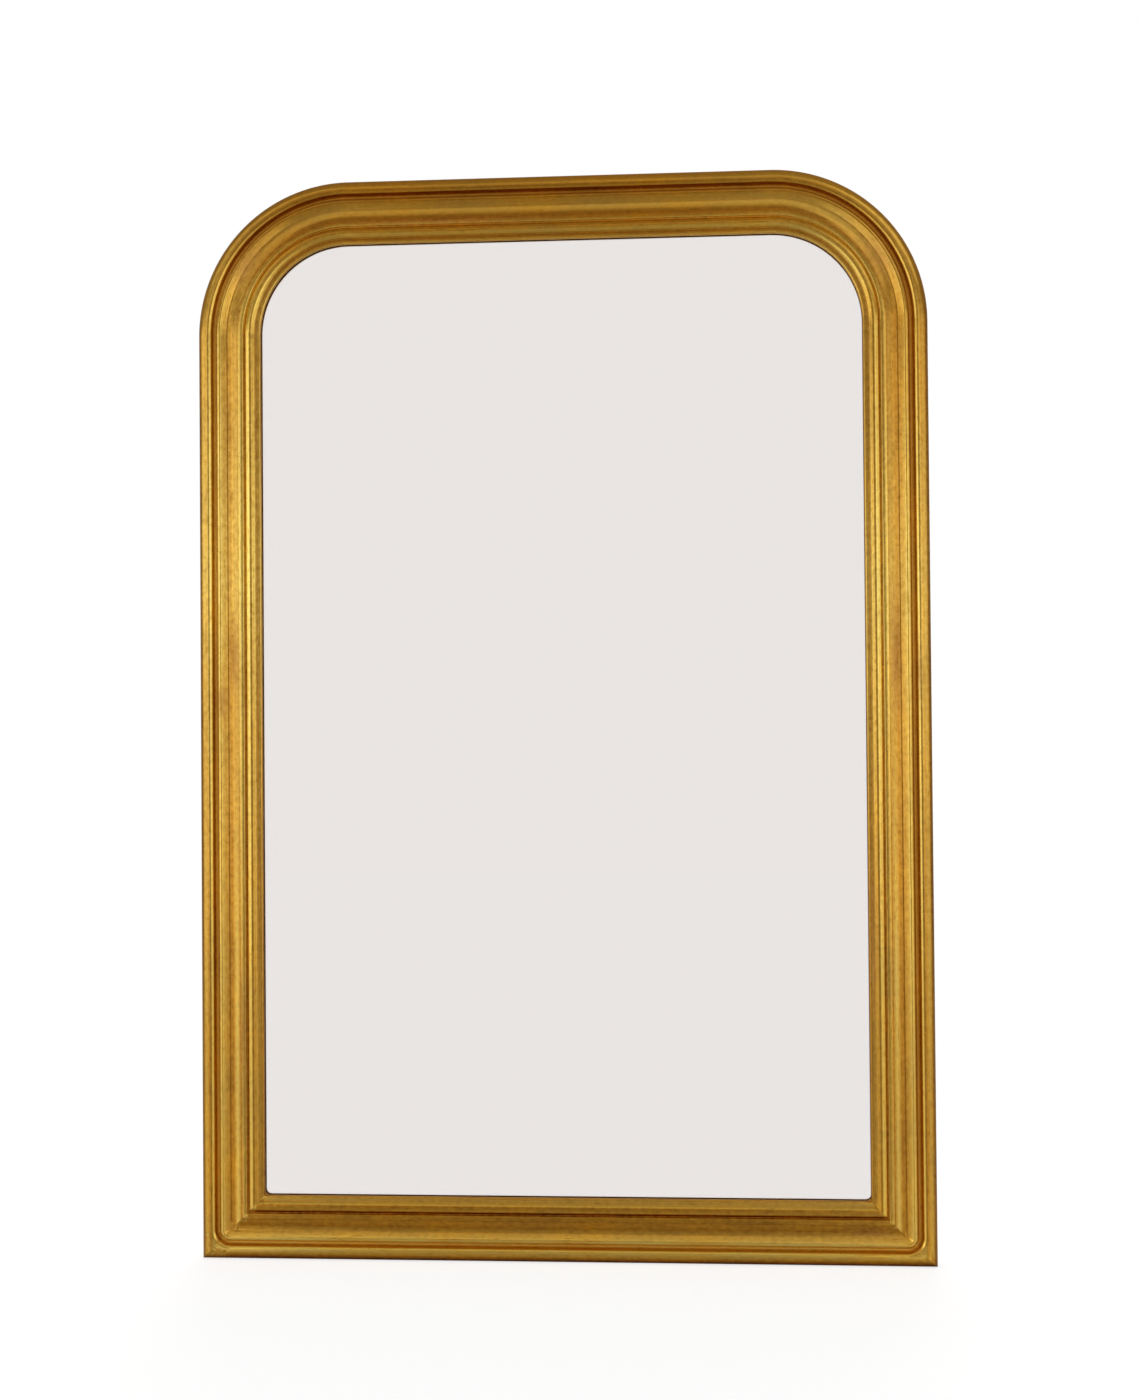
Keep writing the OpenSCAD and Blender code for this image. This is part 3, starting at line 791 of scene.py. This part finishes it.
# %% Light it like a studio
WHITE = (1, 1, 1, 1)
WARM = (1, 0.8, 0.5, 1)
SEEN_THROUGH_GLASS = colour("#E8E2E4")
THROUGH_GLASS_STRENGTH = 1.2

bpy.context.scene.view_settings.view_transform = "Standard"
world = bpy.data.worlds.new("studio")
bpy.context.scene.world = world
world.use_nodes = True
tree = world.node_tree
tree.nodes.clear()
rays = add_node(tree, "LightPath")
seen = add_node(tree, "Background", {"Color": WHITE, "Strength": 0.35})
for ray, tint, strength in (
        ("Is Glossy Ray", WARM, 0.37), ("Is Transmission Ray", SEEN_THROUGH_GLASS, THROUGH_GLASS_STRENGTH),
        ("Is Camera Ray", WHITE, 1)):
    background = add_node(tree, "Background", {"Color": tint, "Strength": strength})
    seen = add_node(tree, "MixShader", {0: rays.outputs[ray], 1: seen, 2: background})
add_node(tree, "OutputWorld", {"Surface": seen})


def softbox(name, azimuth, elevation, distance, size, radiance):
    """A soft lamp that faces the mirror. Azimuth 0 is in front, and positive is to the right."""
    towards = Vector((
        sin(azimuth) * cos(elevation), -cos(azimuth) * cos(elevation), sin(elevation)))
    bpy.ops.object.light_add(type="AREA", location=towards * distance)
    lamp = named(name)
    lamp.data.shape = "RECTANGLE"
    lamp.data.size, lamp.data.size_y = size
    lamp.data.energy = radiance * math.pi * size[0] * size[1]
    lamp.rotation_mode = "QUATERNION"
    lamp.rotation_quaternion = towards.to_track_quat("Z", "Y")
    lamp.visible_camera = lamp.visible_transmission = False


softbox("left_softbox", -62, 0, 3.0, (2.6, 2.2), 0.82)
softbox("left_front_softbox", -31, 0, 3.2, (1.2, 2.3), 0.95)
softbox("right_front_softbox", 25, 0, 3.2, (1.4, 2.3), 0.94)
softbox("right_softbox", 62, 0, 3.0, (2.6, 2.2), 0.65)
softbox("left_high_softbox", -45, 38, 3.2, (2.0, 1.2), 0.35)
softbox("right_high_softbox", 45, 38, 3.2, (2.0, 1.2), 0.6)
softbox("high_softbox", 0, 38, 3.2, (2.0, 1.2), 0.2)
softbox("back_softbox", 180, 12, 3.0, (3.0, 2.2), 2.2)

# %% [markdown]
# The floor is pale and matt. It keeps the mirror's shadow near by and fades into the white further out.
# In the gold's reflections it is half polished and shows the room, as a matt one would light the lower
# parts of the sides evenly and flatten them.

# %% Lay the floor
FLOOR_R = 6
FADE_STARTS = 0.5
FADE_ENDS = 1.4
deselect()
bpy.ops.mesh.primitive_circle_add(vertices=96, radius=FLOOR_R, fill_type="NGON", location=(0, 0, BOTTOM))
floor = settled("floor")
pale, tree = new_material("pale_floor")
rays = add_node(tree, "LightPath")
on_floor = add_node(tree, "TexCoord").outputs["Object"]
matt = add_node(tree, "BsdfDiffuse", {"Color": (0.6, 0.6, 0.6, 1)})
glow = add_node(tree, "Emission", {"Color": WHITE, "Strength": 0.7})
near_it = add_node(tree, "AddShader", {0: matt, 1: glow})
from_foot = add_node(tree, "VectorMath", {0: on_floor, 1: (0, 0, -BOTTOM)})
how_far = add_node(tree, "VectorMath", {0: from_foot}, operation="LENGTH")
fade = add_node(tree, "MapRange", {
    "Value": how_far, "From Min": FADE_STARTS, "From Max": FADE_ENDS}, interpolation_type="SMOOTHSTEP")
blank = add_node(tree, "Emission", {"Color": WHITE, "Strength": 1})
lit = add_node(tree, "MixShader", {0: fade, 1: near_it, 2: blank})
unpolished = add_node(tree, "BsdfDiffuse", {"Color": (0.85, 0.85, 0.85, 1)})
polished = add_node(tree, "BsdfGlossy", {"Color": (0.85, 0.85, 0.85, 1), "Roughness": 0.2})
seen = add_node(tree, "MixShader", {0: 0.6, 1: unpolished, 2: polished})
through_glass = add_node(tree, "Emission", {
    "Color": SEEN_THROUGH_GLASS, "Strength": THROUGH_GLASS_STRENGTH})
for ray, shader in (("Is Transmission Ray", through_glass), ("Is Camera Ray", lit)):
    seen = add_node(tree, "MixShader", {0: rays.outputs[ray], 1: seen, 2: shader})
cover(tree, seen)
floor.data.materials.append(pale)

# %% [markdown]
# Bare wood shows on the back. The growth rings make long bands that wander a little, so a wave texture with
# some distortion draws them, and fine noise adds the pores. Both are stretched along the grain. Each
# wood sets its own ring width and colours, and the angle of its grain from upright.

# %% Bare woods
# How many times longer than wide the marks of the grain are, and the widths of two of them in mm
STRETCH = 16
PORE = 0.9
PATCH = 25
# A wave texture repeats every 0.314 of its own unit
WAVE = 0.314


def wood(name, grain, ring, wander, pale, dark):
    """A planed, bare wood. Its grain leans so many degrees from upright, and a ring is so many mm wide."""
    material, tree = new_material(name)
    on_piece = add_node(tree, "TexCoord").outputs["Object"]
    along_grain = add_node(tree, "Mapping", {
        "Vector": on_piece, "Rotation": (0, rad(grain), 0), "Scale": (1, 1, STRETCH)}, vector_type="TEXTURE")
    rings = add_node(tree, "TexWave", {
        "Vector": along_grain, "Scale": WAVE / (ring * MM), "Distortion": wander, "Detail": 2,
        "Detail Scale": 1}, bands_direction="X").outputs["Fac"]
    pores, board = [
        add_node(tree, "TexNoise", {"Vector": along_grain, "Scale": 1 / (size * MM), "Detail": detail})
        for size, detail in ((PORE, 3), (PATCH, 1))]
    dark_share = add_node(tree, "MapRange", {
        "Value": added(tree, -0.45, (rings, 0.55), (pores, 1), (board, 1)), "From Min": 0.3, "From Max": 1})
    tone = add_node(tree, "Mix", {
        0: dark_share, MIX_A: colour(pale), MIX_B: colour(dark)}, data_type="RGBA")
    open_pores = add_node(tree, "Bump", {"Height": pores, "Strength": 0.5, "Distance": 0.08 * MM})
    cover(tree, add_node(tree, "BsdfPrincipled", {
        "Base Color": tone, "Roughness": 0.62, "IOR": 1.5, "Normal": open_pores}))
    return material


# The upright and the level members have their grain along their own length, and the corners on the slant
upright_wood = wood("bare_limewood_upright", 0, 3, 2, "#CBA671", "#9A7140")
level_wood = wood("bare_limewood_level", 90, 3, 2, "#CBA671", "#9A7140")
left_corner_wood = wood("bare_limewood_left_corner", 45, 3, 2, "#C8A36E", "#96703F")
right_corner_wood = wood("bare_limewood_right_corner", -45, 3, 2, "#C8A36E", "#96703F")
left_beech = wood("planed_beech_left", -45, 1.6, 1, "#D9B083", "#B98556")
right_beech = wood("planed_beech_right", 45, 1.6, 1, "#D9B083", "#B98556")
pine = wood("sawn_pine", 0, 4, 1, "#E0BD84", "#BC8A4C")
plywood = wood("birch_plywood_face", 0, 22, 14, "#E2C89F", "#D2B181")
print("woods made")

# %% [markdown]
# The gesso and the gold cover only the front and part of the outside. The back and the rebate are left as
# the plane left them, so those faces get a second material. A slot for each mitre key is cut through the
# back with a boolean: the key's own box, a little larger all round and raised clear of the surface, so that
# no two faces lie on each other.

# %% Cut the slots for the mitre keys
# The key, the gap round it, and how far the cutter stands out of the wood, in mm
KEY_L = 54
KEY_W = 8
KEY_H = 12
KEY_GAP = 0.1
KEY_CLEAR = 1
key_middle = REBATE_T / 2 * MM
deselect()
bpy.ops.mesh.primitive_cube_add(size=MM)
cutter = named("key_slot_cutter")
edit(cutter)
bpy.ops.transform.resize(value=(KEY_L + 2 * KEY_GAP, KEY_H + KEY_GAP + KEY_CLEAR, KEY_W + 2 * KEY_GAP))
close()
slot_y = BACK + (KEY_CLEAR - KEY_H - KEY_GAP) / 2 * MM
place(cutter, moved(key_middle - HALF_W, slot_y, key_middle + BOTTOM) @ turned(45))
other_cutter = copy_of(cutter, "other_key_slot_cutter", FLIP)
for stile, tool in ((left_stile, cutter), (right_stile, other_cutter)):
    cut(stile, tool)
    cut(bottom_rail, tool)
    bpy.data.objects.remove(tool)

# %% Show bare wood behind, and say what each gilded piece is
LEAF_STOPS_H = 1


def is_bare(corners):
    """True for a face on the back, in the rebate, in a key slot or in a joint."""
    heights = [(BACK - co.y) / MM for co in corners]
    inward = [unroll(co)[1] for co in corners]
    in_rebate = min(inward) > REBATE_T - 0.1 and max(heights) < REBATE_H + 0.1
    on_back = max(heights) < LEAF_STOPS_H
    inside = sum(heights) / len(heights) < KEY_H + 0.5 and min(inward) > 0.5
    return in_rebate or on_back or inside


for piece, node, bare in (
        (left_stile, "left_stile", upright_wood), (right_stile, "right_stile", upright_wood),
        (top_rail, "top_rail", level_wood), (bottom_rail, "bottom_rail", level_wood),
        (left_corner, "left_corner_block", left_corner_wood),
        (right_corner, "right_corner_block", right_corner_wood)):
    piece.data.materials.append(bare)
    count = 0
    for polygon in piece.data.polygons:
        if is_bare([piece.data.vertices[i].co for i in polygon.vertices]):
            polygon.material_index = 1
            count += 1
    report(piece)
    print("bare faces", count, "of", len(piece.data.polygons))
    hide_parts(node)
    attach(piece, "frame")

# %% [markdown]
# In the two lower corners of the opening the gesso rounds the inside of the mitre a little. Each of these
# small fillets is drawn as a corner and a quarter arc, filled and pulled forward to just under the lip.

# %% Helpers for drawing a small piece
def draw(name, *points):
    """Starts a mesh with one vertex and extrudes it from point to point."""
    deselect()
    bpy.ops.mesh.primitive_plane_add(size=MM, location=points[0])
    line = settled(name)
    edit(line)
    bpy.ops.mesh.select_mode(type="VERT")
    take_all()
    bpy.ops.mesh.merge(type="CENTER")
    take_all()
    for point in points[1:]:
        draw_on(point)
    return line


def dress(piece, material, degrees):
    """Gives a finished piece its material and shades it."""
    piece.data.materials.append(material)
    smooth(piece, degrees)
    report(piece)


# %% Round the corners of the opening
SIGHT_R = 5
SIGHT_H = LIP_H - 0.4
SIGHT_BEVEL = 0.8
SIGHT_IN_WOOD = -0.2
GLASS_CLEAR = 0.05
sight_corner = Vector((
    RAIL_W * MM - HALF_W, BACK - (REBATE_H + GLASS_CLEAR) * MM, RAIL_W * MM + BOTTOM))


def from_sight(x, z):
    return sight_corner + Vector((x, 0, z)) * MM


def on_front_edge(co):
    return co.y < BACK - (SIGHT_H - 0.1) * MM and co.x > sight_corner.x and co.z > sight_corner.z


sight_fillet = draw("left_sight_fillet", from_sight(SIGHT_R, 0))
bpy.ops.mesh.spin(steps=10, angle=rad(-90), center=from_sight(SIGHT_R, SIGHT_R), axis=(0, 1, 0))
for x, z in (
        (SIGHT_IN_WOOD, SIGHT_R), (SIGHT_IN_WOOD, SIGHT_IN_WOOD), (SIGHT_R, SIGHT_IN_WOOD), (SIGHT_R, 0)):
    draw_on(from_sight(x, z))
tidy_mesh()
pick("EDGE", lambda e: True)
bpy.ops.mesh.edge_face_add()
push(0, (REBATE_H + GLASS_CLEAR - SIGHT_H) * MM, 0)
tidy_mesh()
pick("EDGE", lambda e: both_ends(e, on_front_edge))
bpy.ops.mesh.bevel(offset=SIGHT_BEVEL * MM, segments=3)
tidy_mesh()
close()
measure(sight_fillet)
dress(sight_fillet, gold_leaf, 50)
for piece in (sight_fillet, copy_of(sight_fillet, "right_sight_fillet", FLIP)):
    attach(piece, "frame")

# %% [markdown]
# The mirror is a sheet of float glass with a coat of silver and its backing paint behind it. The glass is
# clear and quite smooth, with a trace of green. It is a copy of its solid with the back drawn forward by
# a twentieth of a millimetre, because a renderer can't tell which of two faces in one place comes first.
# Silver reflects nearly all light and no colour of its own, and a grey-brown paint guards its back.

# %% Float glass and silver
BRUSH_MARK = 6
float_glass, tree = new_material("float_glass")
cover(tree, add_node(tree, "BsdfPrincipled", {
    "Base Color": colour("#FDFEFD"), "Roughness": 0, "IOR": 1.52, "Transmission Weight": 1}))

silver, tree = new_material("silver_with_backing_paint")
on_piece = add_node(tree, "TexCoord").outputs
bright = add_node(tree, "BsdfPrincipled", {
    "Base Color": colour("#F4F4F2"), "Metallic": 1, "Roughness": 0})
brush_marks = add_node(tree, "TexNoise", {
    "Vector": on_piece["Object"], "Scale": 1 / (BRUSH_MARK * MM), "Detail": 2})
brushed_on = add_node(tree, "Mix", {
    0: brush_marks, MIX_A: colour("#6A5F58"), MIX_B: colour("#7C7068")}, data_type="RGBA")
paint = add_node(tree, "BsdfPrincipled", {"Base Color": brushed_on, "Roughness": 0.6})
facing = add_node(tree, "SeparateXYZ", {0: on_piece["Normal"]})
is_back = add_node(tree, "Math", {0: facing.outputs["Y"], 1: 0.5}, operation="GREATER_THAN")
cover(tree, add_node(tree, "MixShader", {0: is_back, 1: bright, 2: paint}))


# %% Make the glass
def merged_copy(node, name):
    """Copies a solid's mesh as a free piece with its corners joined and its flat faces made whole."""
    twin = copy_of(frame["nodes"][node], name)
    twin.parent = None
    del twin["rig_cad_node"]
    twin.data.materials.clear()
    edit(twin)
    tidy_mesh()
    bpy.ops.mesh.dissolve_limited(angle_limit=rad(0.5))
    close()
    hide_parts(node)
    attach(twin, "frame")
    return twin


glass_back_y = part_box("mirror_glass")[1].y
glass = merged_copy("mirror_glass", "polished_glass")
edit(glass)
pick("VERT", lambda v: v.co.y > glass_back_y - 0.1 * MM)
bpy.ops.transform.translate(value=(0, -GLASS_CLEAR * MM, 0))
close()
glass.data.materials.append(float_glass)
report(glass)

# %% [markdown]
# The back board is a sheet of birch plywood that just fits the rebate. Its sawn edges are eased with
# sandpaper, which a narrow bevel stands for.

# %% Back board
BOARD_EDGE = 0.6
board = merged_copy("back_board", "back_board_plywood")
ease(board, BOARD_EDGE, 2, 40)
board.data.materials.append(plywood)
report(board)

# %% [markdown]
# Zinc-plated steel is cool grey with a soft, faintly mottled shine, and nickel-plated wire is warmer and
# brighter. Fine scratches in the plating run every way, so a fine noise roughens it.

# %% Metals
# Widths of the plating's marks in mm
BLOTCH = 3
FINE_SCRATCH = 0.5


def plated(name, base, dark, rough):
    """A metal with a mottled tone and fine scratches."""
    material, tree = new_material(name)
    on_piece = add_node(tree, "TexCoord").outputs["Object"]
    blotches, fine = [
        add_node(tree, "TexNoise", {"Vector": on_piece, "Scale": 1 / (size * MM), "Detail": detail})
        for size, detail in ((BLOTCH, 3), (FINE_SCRATCH, 2))]
    tone = add_node(tree, "Mix", {
        0: blotches, MIX_A: colour(base), MIX_B: colour(dark)}, data_type="RGBA")
    roughness = add_node(tree, "MapRange", {
        "Value": fine, "To Min": rough - 0.1, "To Max": rough + 0.12})
    bump = add_node(tree, "Bump", {"Height": fine, "Strength": 0.3, "Distance": 0.02 * MM})
    cover(tree, add_node(tree, "BsdfPrincipled", {
        "Base Color": tone, "Metallic": 1, "Roughness": roughness, "Normal": bump}))
    return material


zinc = plated("zinc_plated_steel", "#C9CCCF", "#9FA4A8", 0.36)
ring_steel = plated("nickel_plated_wire", "#CFCBC4", "#ADA79E", 0.24)
screw_steel = plated("zinc_plated_screws", "#BFC0BD", "#8F908C", 0.32)
print("metals made")

# %% [markdown]
# A turn button is stamped from thin steel. It starts as a short cylinder, and one half of it is pulled away
# in edit mode, which leaves two round ends with straight sides. A boolean cuts the hole for the screw,
# and a bevel rounds the edge that the die rolled over. One button is made, and the rest are copies put in
# place by the boxes of their solids.

# %% Stamp one turn button
BUTTON_W = 11
BUTTON_L = 32
BUTTON_T = 1.6
BUTTON_EDGE = 0.35
BUTTON_HOLE_R = 1.98
# A turning piece clears the wood by this much, so that it never scrapes through it
UNDER_GAP = 0.05
ROUND_SIDES = 48
HALF_SIDE = 180 / ROUND_SIDES
STEEL_ANGLE = 35


def drill(piece, place_x, place_y, place_z, radius, depth, sides):
    """Bores a round hole from front to back."""
    deselect()
    bpy.ops.mesh.primitive_cylinder_add(
        vertices=sides, radius=radius * MM, depth=depth * MM, location=(place_x, place_y, place_z),
        rotation=(rad(90), 0, 0))
    bit = settled("drill_bit")
    cut(piece, bit)
    bpy.data.objects.remove(bit)


deselect()
bpy.ops.mesh.primitive_cylinder_add(
    vertices=ROUND_SIDES, radius=BUTTON_W / 2 * MM, depth=(BUTTON_T - UNDER_GAP) * MM)
button_y = BACK + (BUTTON_T + UNDER_GAP) / 2 * MM
button = settled("turn_button", moved(0, button_y, 0) @ turned(-90, "X") @ turned(HALF_SIDE, "Z"))
edit(button)
pick("VERT", lambda v: v.co.x > 0)
bpy.ops.transform.translate(value=((BUTTON_L - BUTTON_W) * MM, 0, 0))
close()
drill(button, 0, BACK, 0, BUTTON_HOLE_R, 9, ROUND_SIDES)
ease(button, BUTTON_EDGE, 3, 50)
dress(button, zinc, STEEL_ANGLE)

# %% Put the turn buttons in their places
button_places = []
for side, count, angle in (("left", 3, 0), ("right", 3, 180), ("top", 2, -90), ("bottom", 2, 90)):
    for index in range(1, count + 1):
        low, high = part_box(f"turn_button_{side}_{index}")
        middle = (low + high) / 2
        inward = turned(-angle)
        pivot = middle - inward @ Vector(((BUTTON_L - BUTTON_W) / 2 * MM, 0, 0))
        at_pivot = moved(pivot.x, 0, pivot.z) @ inward
        button_places.append(at_pivot)
        twin = copy_of(button, f"turn_button_{side}_{index}_stamped", at_pivot)
        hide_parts(f"turn_button_{side}_{index}")
        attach(twin, f"button_{side}_{index}")
bpy.data.objects.remove(button)
print("turn buttons", len(button_places))

# %% [markdown]
# A screw is turned from wire, so half of its outline is drawn and spun all the way round its axis. The slot
# is sawn across the head with a boolean. The head's top is a low dome, and the shank ends in a point.

# %% Helpers for turned pieces
def lathe(name, outline, sides):
    """Spins an outline of radii and heights above the wood, in mm, round the Y axis."""
    piece = draw(name, *[(radius * MM, BACK + up * MM, 0) for radius, up in outline])
    take_all()
    bpy.ops.mesh.spin(steps=sides, angle=rad(360), center=(0, 0, 0), axis=(0, 1, 0))
    tidy_mesh()
    close()
    return piece


# A round head's radius against the shank's diameter
HEAD = 0.95
SCREW_L = 14
HEAD_H = 2
SLOT_W = 0.9
DOME_STEPS = 6
# The share of the head's height that stands straight under its dome
RIM = 0.35


def screw(name, diameter, lift, slot_turn):
    """A slotted round head screw. The head rests lift mm above the wood."""
    r, head_r = diameter / 2, diameter * HEAD
    tip = ((0, -SCREW_L), (r / 2, diameter * 0.1 - SCREW_L), (r, diameter - SCREW_L))
    outline = [*tip, (r, lift), (head_r, lift)]
    for step in range(DOME_STEPS):
        up = 90 * step / DOME_STEPS
        outline.append((head_r * cos(up), lift + HEAD_H * (RIM + (1 - RIM) * sin(up))))
    outline.append((0, lift + HEAD_H))
    piece = lathe(name, outline, 32)
    deselect()
    bpy.ops.mesh.primitive_cube_add(size=1)
    saw_size = Matrix.Diagonal((4 * head_r * MM, HEAD_H * MM, SLOT_W * MM, 1))
    saw = settled("slot_saw", turned(slot_turn) @ moved(0, BACK + (lift + HEAD_H) * MM, 0) @ saw_size)
    cut(piece, saw)
    bpy.data.objects.remove(saw)
    dress(piece, screw_steel, STEEL_ANGLE)
    return piece


def scatter(model, name, matrices):
    """Puts a copy of a piece at each place, joins them and removes the model."""
    only(*[copy_of(model, name, matrix) for matrix in matrices])
    bpy.ops.object.join()
    bpy.data.objects.remove(model)
    return named(name)


# %% Screws of the turn buttons
BUTTON_SCREW = 3.8
# Each slot stops where the screwdriver left it
button_screws = scatter(screw("button_screw", BUTTON_SCREW, BUTTON_T, 28), "turn_button_screws_slotted", [
    matrix @ turned(67 * index) for index, matrix in enumerate(button_places)])
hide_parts("turn_button_screws")
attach(button_screws, "frame")

# %% [markdown]
# The hanger is a strip of sheet steel. Its flat is drawn as half a circle with a straight top, the top edge
# is narrowed and curled round the ring's axis with spin, and solidify gives the sheet its thickness. The
# holes are drilled after that, so that their walls are square to the sheet.

# %% Where the hanger's parts lie
STRAP_W = 14
STRAP_T = 1.2
STRAP_MARGIN = 1.2
STRAP_EDGE = 0.15
CURL_W = 12.5
CURL_TURN = 290
WIRE_R = 1.25
RUNNING_GAP = 0.08
CURL_GAP = 0.3
HANGER_SCREW = 4
# The flat of the strap ends this far below its curl
FLAT_ENDS = 1.4
curl_r = WIRE_R + RUNNING_GAP + STRAP_T / 2
ring_low, ring_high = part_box("left_d_ring")
axis_y = BACK + (curl_r + STRAP_T / 2 + CURL_GAP) * MM
axis_z = ring_high.z - WIRE_R * MM
hanger_x = (ring_low.x + ring_high.x) / 2
low_hole_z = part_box("left_hanger_strap")[0].z + STRAP_W / 2 * MM
high_hole_z = low_hole_z + 2 * (HANGER_SCREW * HEAD + STRAP_MARGIN) * MM
plate_top_z = axis_z - (curl_r + STRAP_T / 2 + FLAT_ENDS) * MM
sheet_y = BACK + STRAP_T / 2 * MM
print("strap holes and ring axis at z", [round(z, 4) for z in (low_hole_z, high_hole_z, axis_z)])

# %% Fold the hanger straps
deselect()
bpy.ops.mesh.primitive_circle_add(vertices=ROUND_SIDES, radius=STRAP_W / 2 * MM, rotation=(rad(90), 0, 0))
strap = settled("left_hanger_strap_folded", moved(hanger_x, sheet_y, low_hole_z))
edit(strap)
pick("VERT", lambda v: v.co.z > low_hole_z + 0.001 * MM)
bpy.ops.mesh.delete(type="VERT")
pick("VERT", lambda v: v.co.z > low_hole_z - 0.001 * MM)
bpy.ops.mesh.extrude_vertices_move(TRANSFORM_OT_translate={"value": (0, 0, plate_top_z - low_hole_z)})
take_all()
bpy.ops.mesh.edge_face_add()
pick("EDGE", lambda e: both_ends(e, lambda co: near(co.z, plate_top_z)))
push(0, axis_y - curl_r * MM - sheet_y, axis_z - plate_top_z)
bpy.ops.transform.resize(value=(CURL_W / STRAP_W, 1, 1))
bpy.ops.mesh.spin(steps=24, angle=rad(CURL_TURN), center=(hanger_x, axis_y, axis_z), axis=(1, 0, 0))
tidy_mesh()
close()
modify(strap, "SOLIDIFY", thickness=STRAP_T * MM, offset=0, use_even_offset=True)
for z in (low_hole_z, high_hole_z):
    drill(strap, hanger_x, sheet_y, z, HANGER_SCREW / 2 + 0.05, 4, 32)
ease(strap, STRAP_EDGE, 2, 50)
dress(strap, zinc, STEEL_ANGLE)
print("strap", *[[round(v / MM, 2) for v in strap.bound_box[i]] for i in (0, 6)])
for piece, side in ((strap, "left"), (copy_of(strap, "right_hanger_strap_folded", FLIP), "right")):
    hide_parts(f"{side}_hanger_strap")
    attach(piece, "frame")

# %% Screw the hangers on
hanger_places = [
    moved(side * hanger_x, 0, z) @ turned(angle) for side, z, angle in (
        (1, low_hole_z, 0), (1, high_hole_z, 55), (-1, low_hole_z, 100), (-1, high_hole_z, 20))]
hanger_screws = scatter(
    screw("hanger_screw", HANGER_SCREW, STRAP_T, 12), "hanger_screws_slotted", hanger_places)
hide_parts("hanger_screws")
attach(hanger_screws, "frame")

# %% [markdown]
# The ring is one length of wire bent to a D. A small circle, the wire's section, is spun round each bend in
# turn and extruded back along the straight bar, and its two ends are merged where the wire is welded.

# %% D rings
RING_W = 25
RING_CORNER_R = 4
bar_half = RING_W / 2 - RING_CORNER_R


def from_axis(x, z):
    return Vector((hanger_x, axis_y, axis_z)) + Vector((x, 0, z)) * MM


deselect()
bpy.ops.mesh.primitive_circle_add(vertices=20, radius=WIRE_R * MM, rotation=(0, rad(90), 0))
ring = settled("left_d_ring_wire", moved(*from_axis(-bar_half, 0)))
edit(ring)
take_all()
for middle, steps, angle in ((-bar_half, 10, 90), (0, 36, 180), (bar_half, 10, 90)):
    bpy.ops.mesh.spin(steps=steps, angle=rad(angle), center=from_axis(middle, -RING_CORNER_R), axis=(0, 1, 0))
push(-2 * bar_half * MM, 0, 0)
tidy_mesh()
close()
dress(ring, ring_steel, 60)
print("ring", *[[round(v / MM, 2) for v in ring.bound_box[i]] for i in (0, 6)])
for piece, side in ((ring, "left"), (copy_of(ring, "right_d_ring_wire", FLIP), "right")):
    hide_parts(f"{side}_d_ring")
    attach(piece, f"{side}_ring")

# %% [markdown]
# Black rubber bumpers keep the frame off the wall. Each is moulded with a soft edge and a small dimple over
# the pin that holds it, so its outline is drawn once and spun round. Moulded rubber is a dusty black with
# a fine grain and hardly any shine.

# %% Rubber bumpers
RUBBER_GRAIN = 0.7
rubber, tree = new_material("moulded_black_rubber")
on_piece = add_node(tree, "TexCoord").outputs["Object"]
grain = add_node(tree, "TexNoise", {"Vector": on_piece, "Scale": 1 / (RUBBER_GRAIN * MM), "Detail": 3})
dusty = add_node(tree, "Mix", {
    0: grain, MIX_A: colour("#232323"), MIX_B: colour("#3A3836")}, data_type="RGBA")
rubber_bump = add_node(tree, "Bump", {"Height": grain, "Strength": 0.4, "Distance": 0.05 * MM})
cover(tree, add_node(tree, "BsdfPrincipled", {
    "Base Color": dusty, "Roughness": 0.7, "Normal": rubber_bump}))

BUMPER_R = 8
BUMPER_H = -BACK / MM
FOOT_EDGE = 0.3
FACE_EDGE = 1
DIMPLE_R = 2.5
DIMPLE_H = BUMPER_H - 1.2
bumper = lathe("bumper", (
    (0, 0), (BUMPER_R - FOOT_EDGE, 0), (BUMPER_R, FOOT_EDGE), (BUMPER_R, BUMPER_H - FACE_EDGE),
    (BUMPER_R - 0.3, BUMPER_H - 0.4), (BUMPER_R - FACE_EDGE, BUMPER_H), (DIMPLE_R + 0.7, BUMPER_H),
    (DIMPLE_R + 0.2, BUMPER_H - 0.4), (DIMPLE_R, DIMPLE_H), (0, DIMPLE_H)), ROUND_SIDES)
dress(bumper, rubber, 40)
for corner in ("top_left", "top_right", "bottom_left", "bottom_right"):
    low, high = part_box(f"bumper_{corner}")
    middle = (low + high) / 2
    twin = copy_of(bumper, f"bumper_{corner}_rubber", moved(middle.x, 0, middle.z))
    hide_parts(f"bumper_{corner}")
    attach(twin, "frame")
bpy.data.objects.remove(bumper)

# %% [markdown]
# The remaining solids already have the right shape, and most are out of sight behind the board. Each gets the
# material of the real piece.

# %% Finish the solids that stay
for node, material in (
        ("mirror_silvering", silver), ("glass_pads", rubber), ("corner_dowels", left_beech),
        ("left_mitre_key", left_beech), ("right_mitre_key", right_beech), ("left_glass_blocks", pine),
        ("right_glass_blocks", pine), ("top_glass_blocks", pine), ("bottom_glass_blocks", pine)):
    piece = frame["nodes"][node]
    piece.data.materials.clear()
    piece.data.materials.append(material)
print("materials", len(bpy.data.materials))
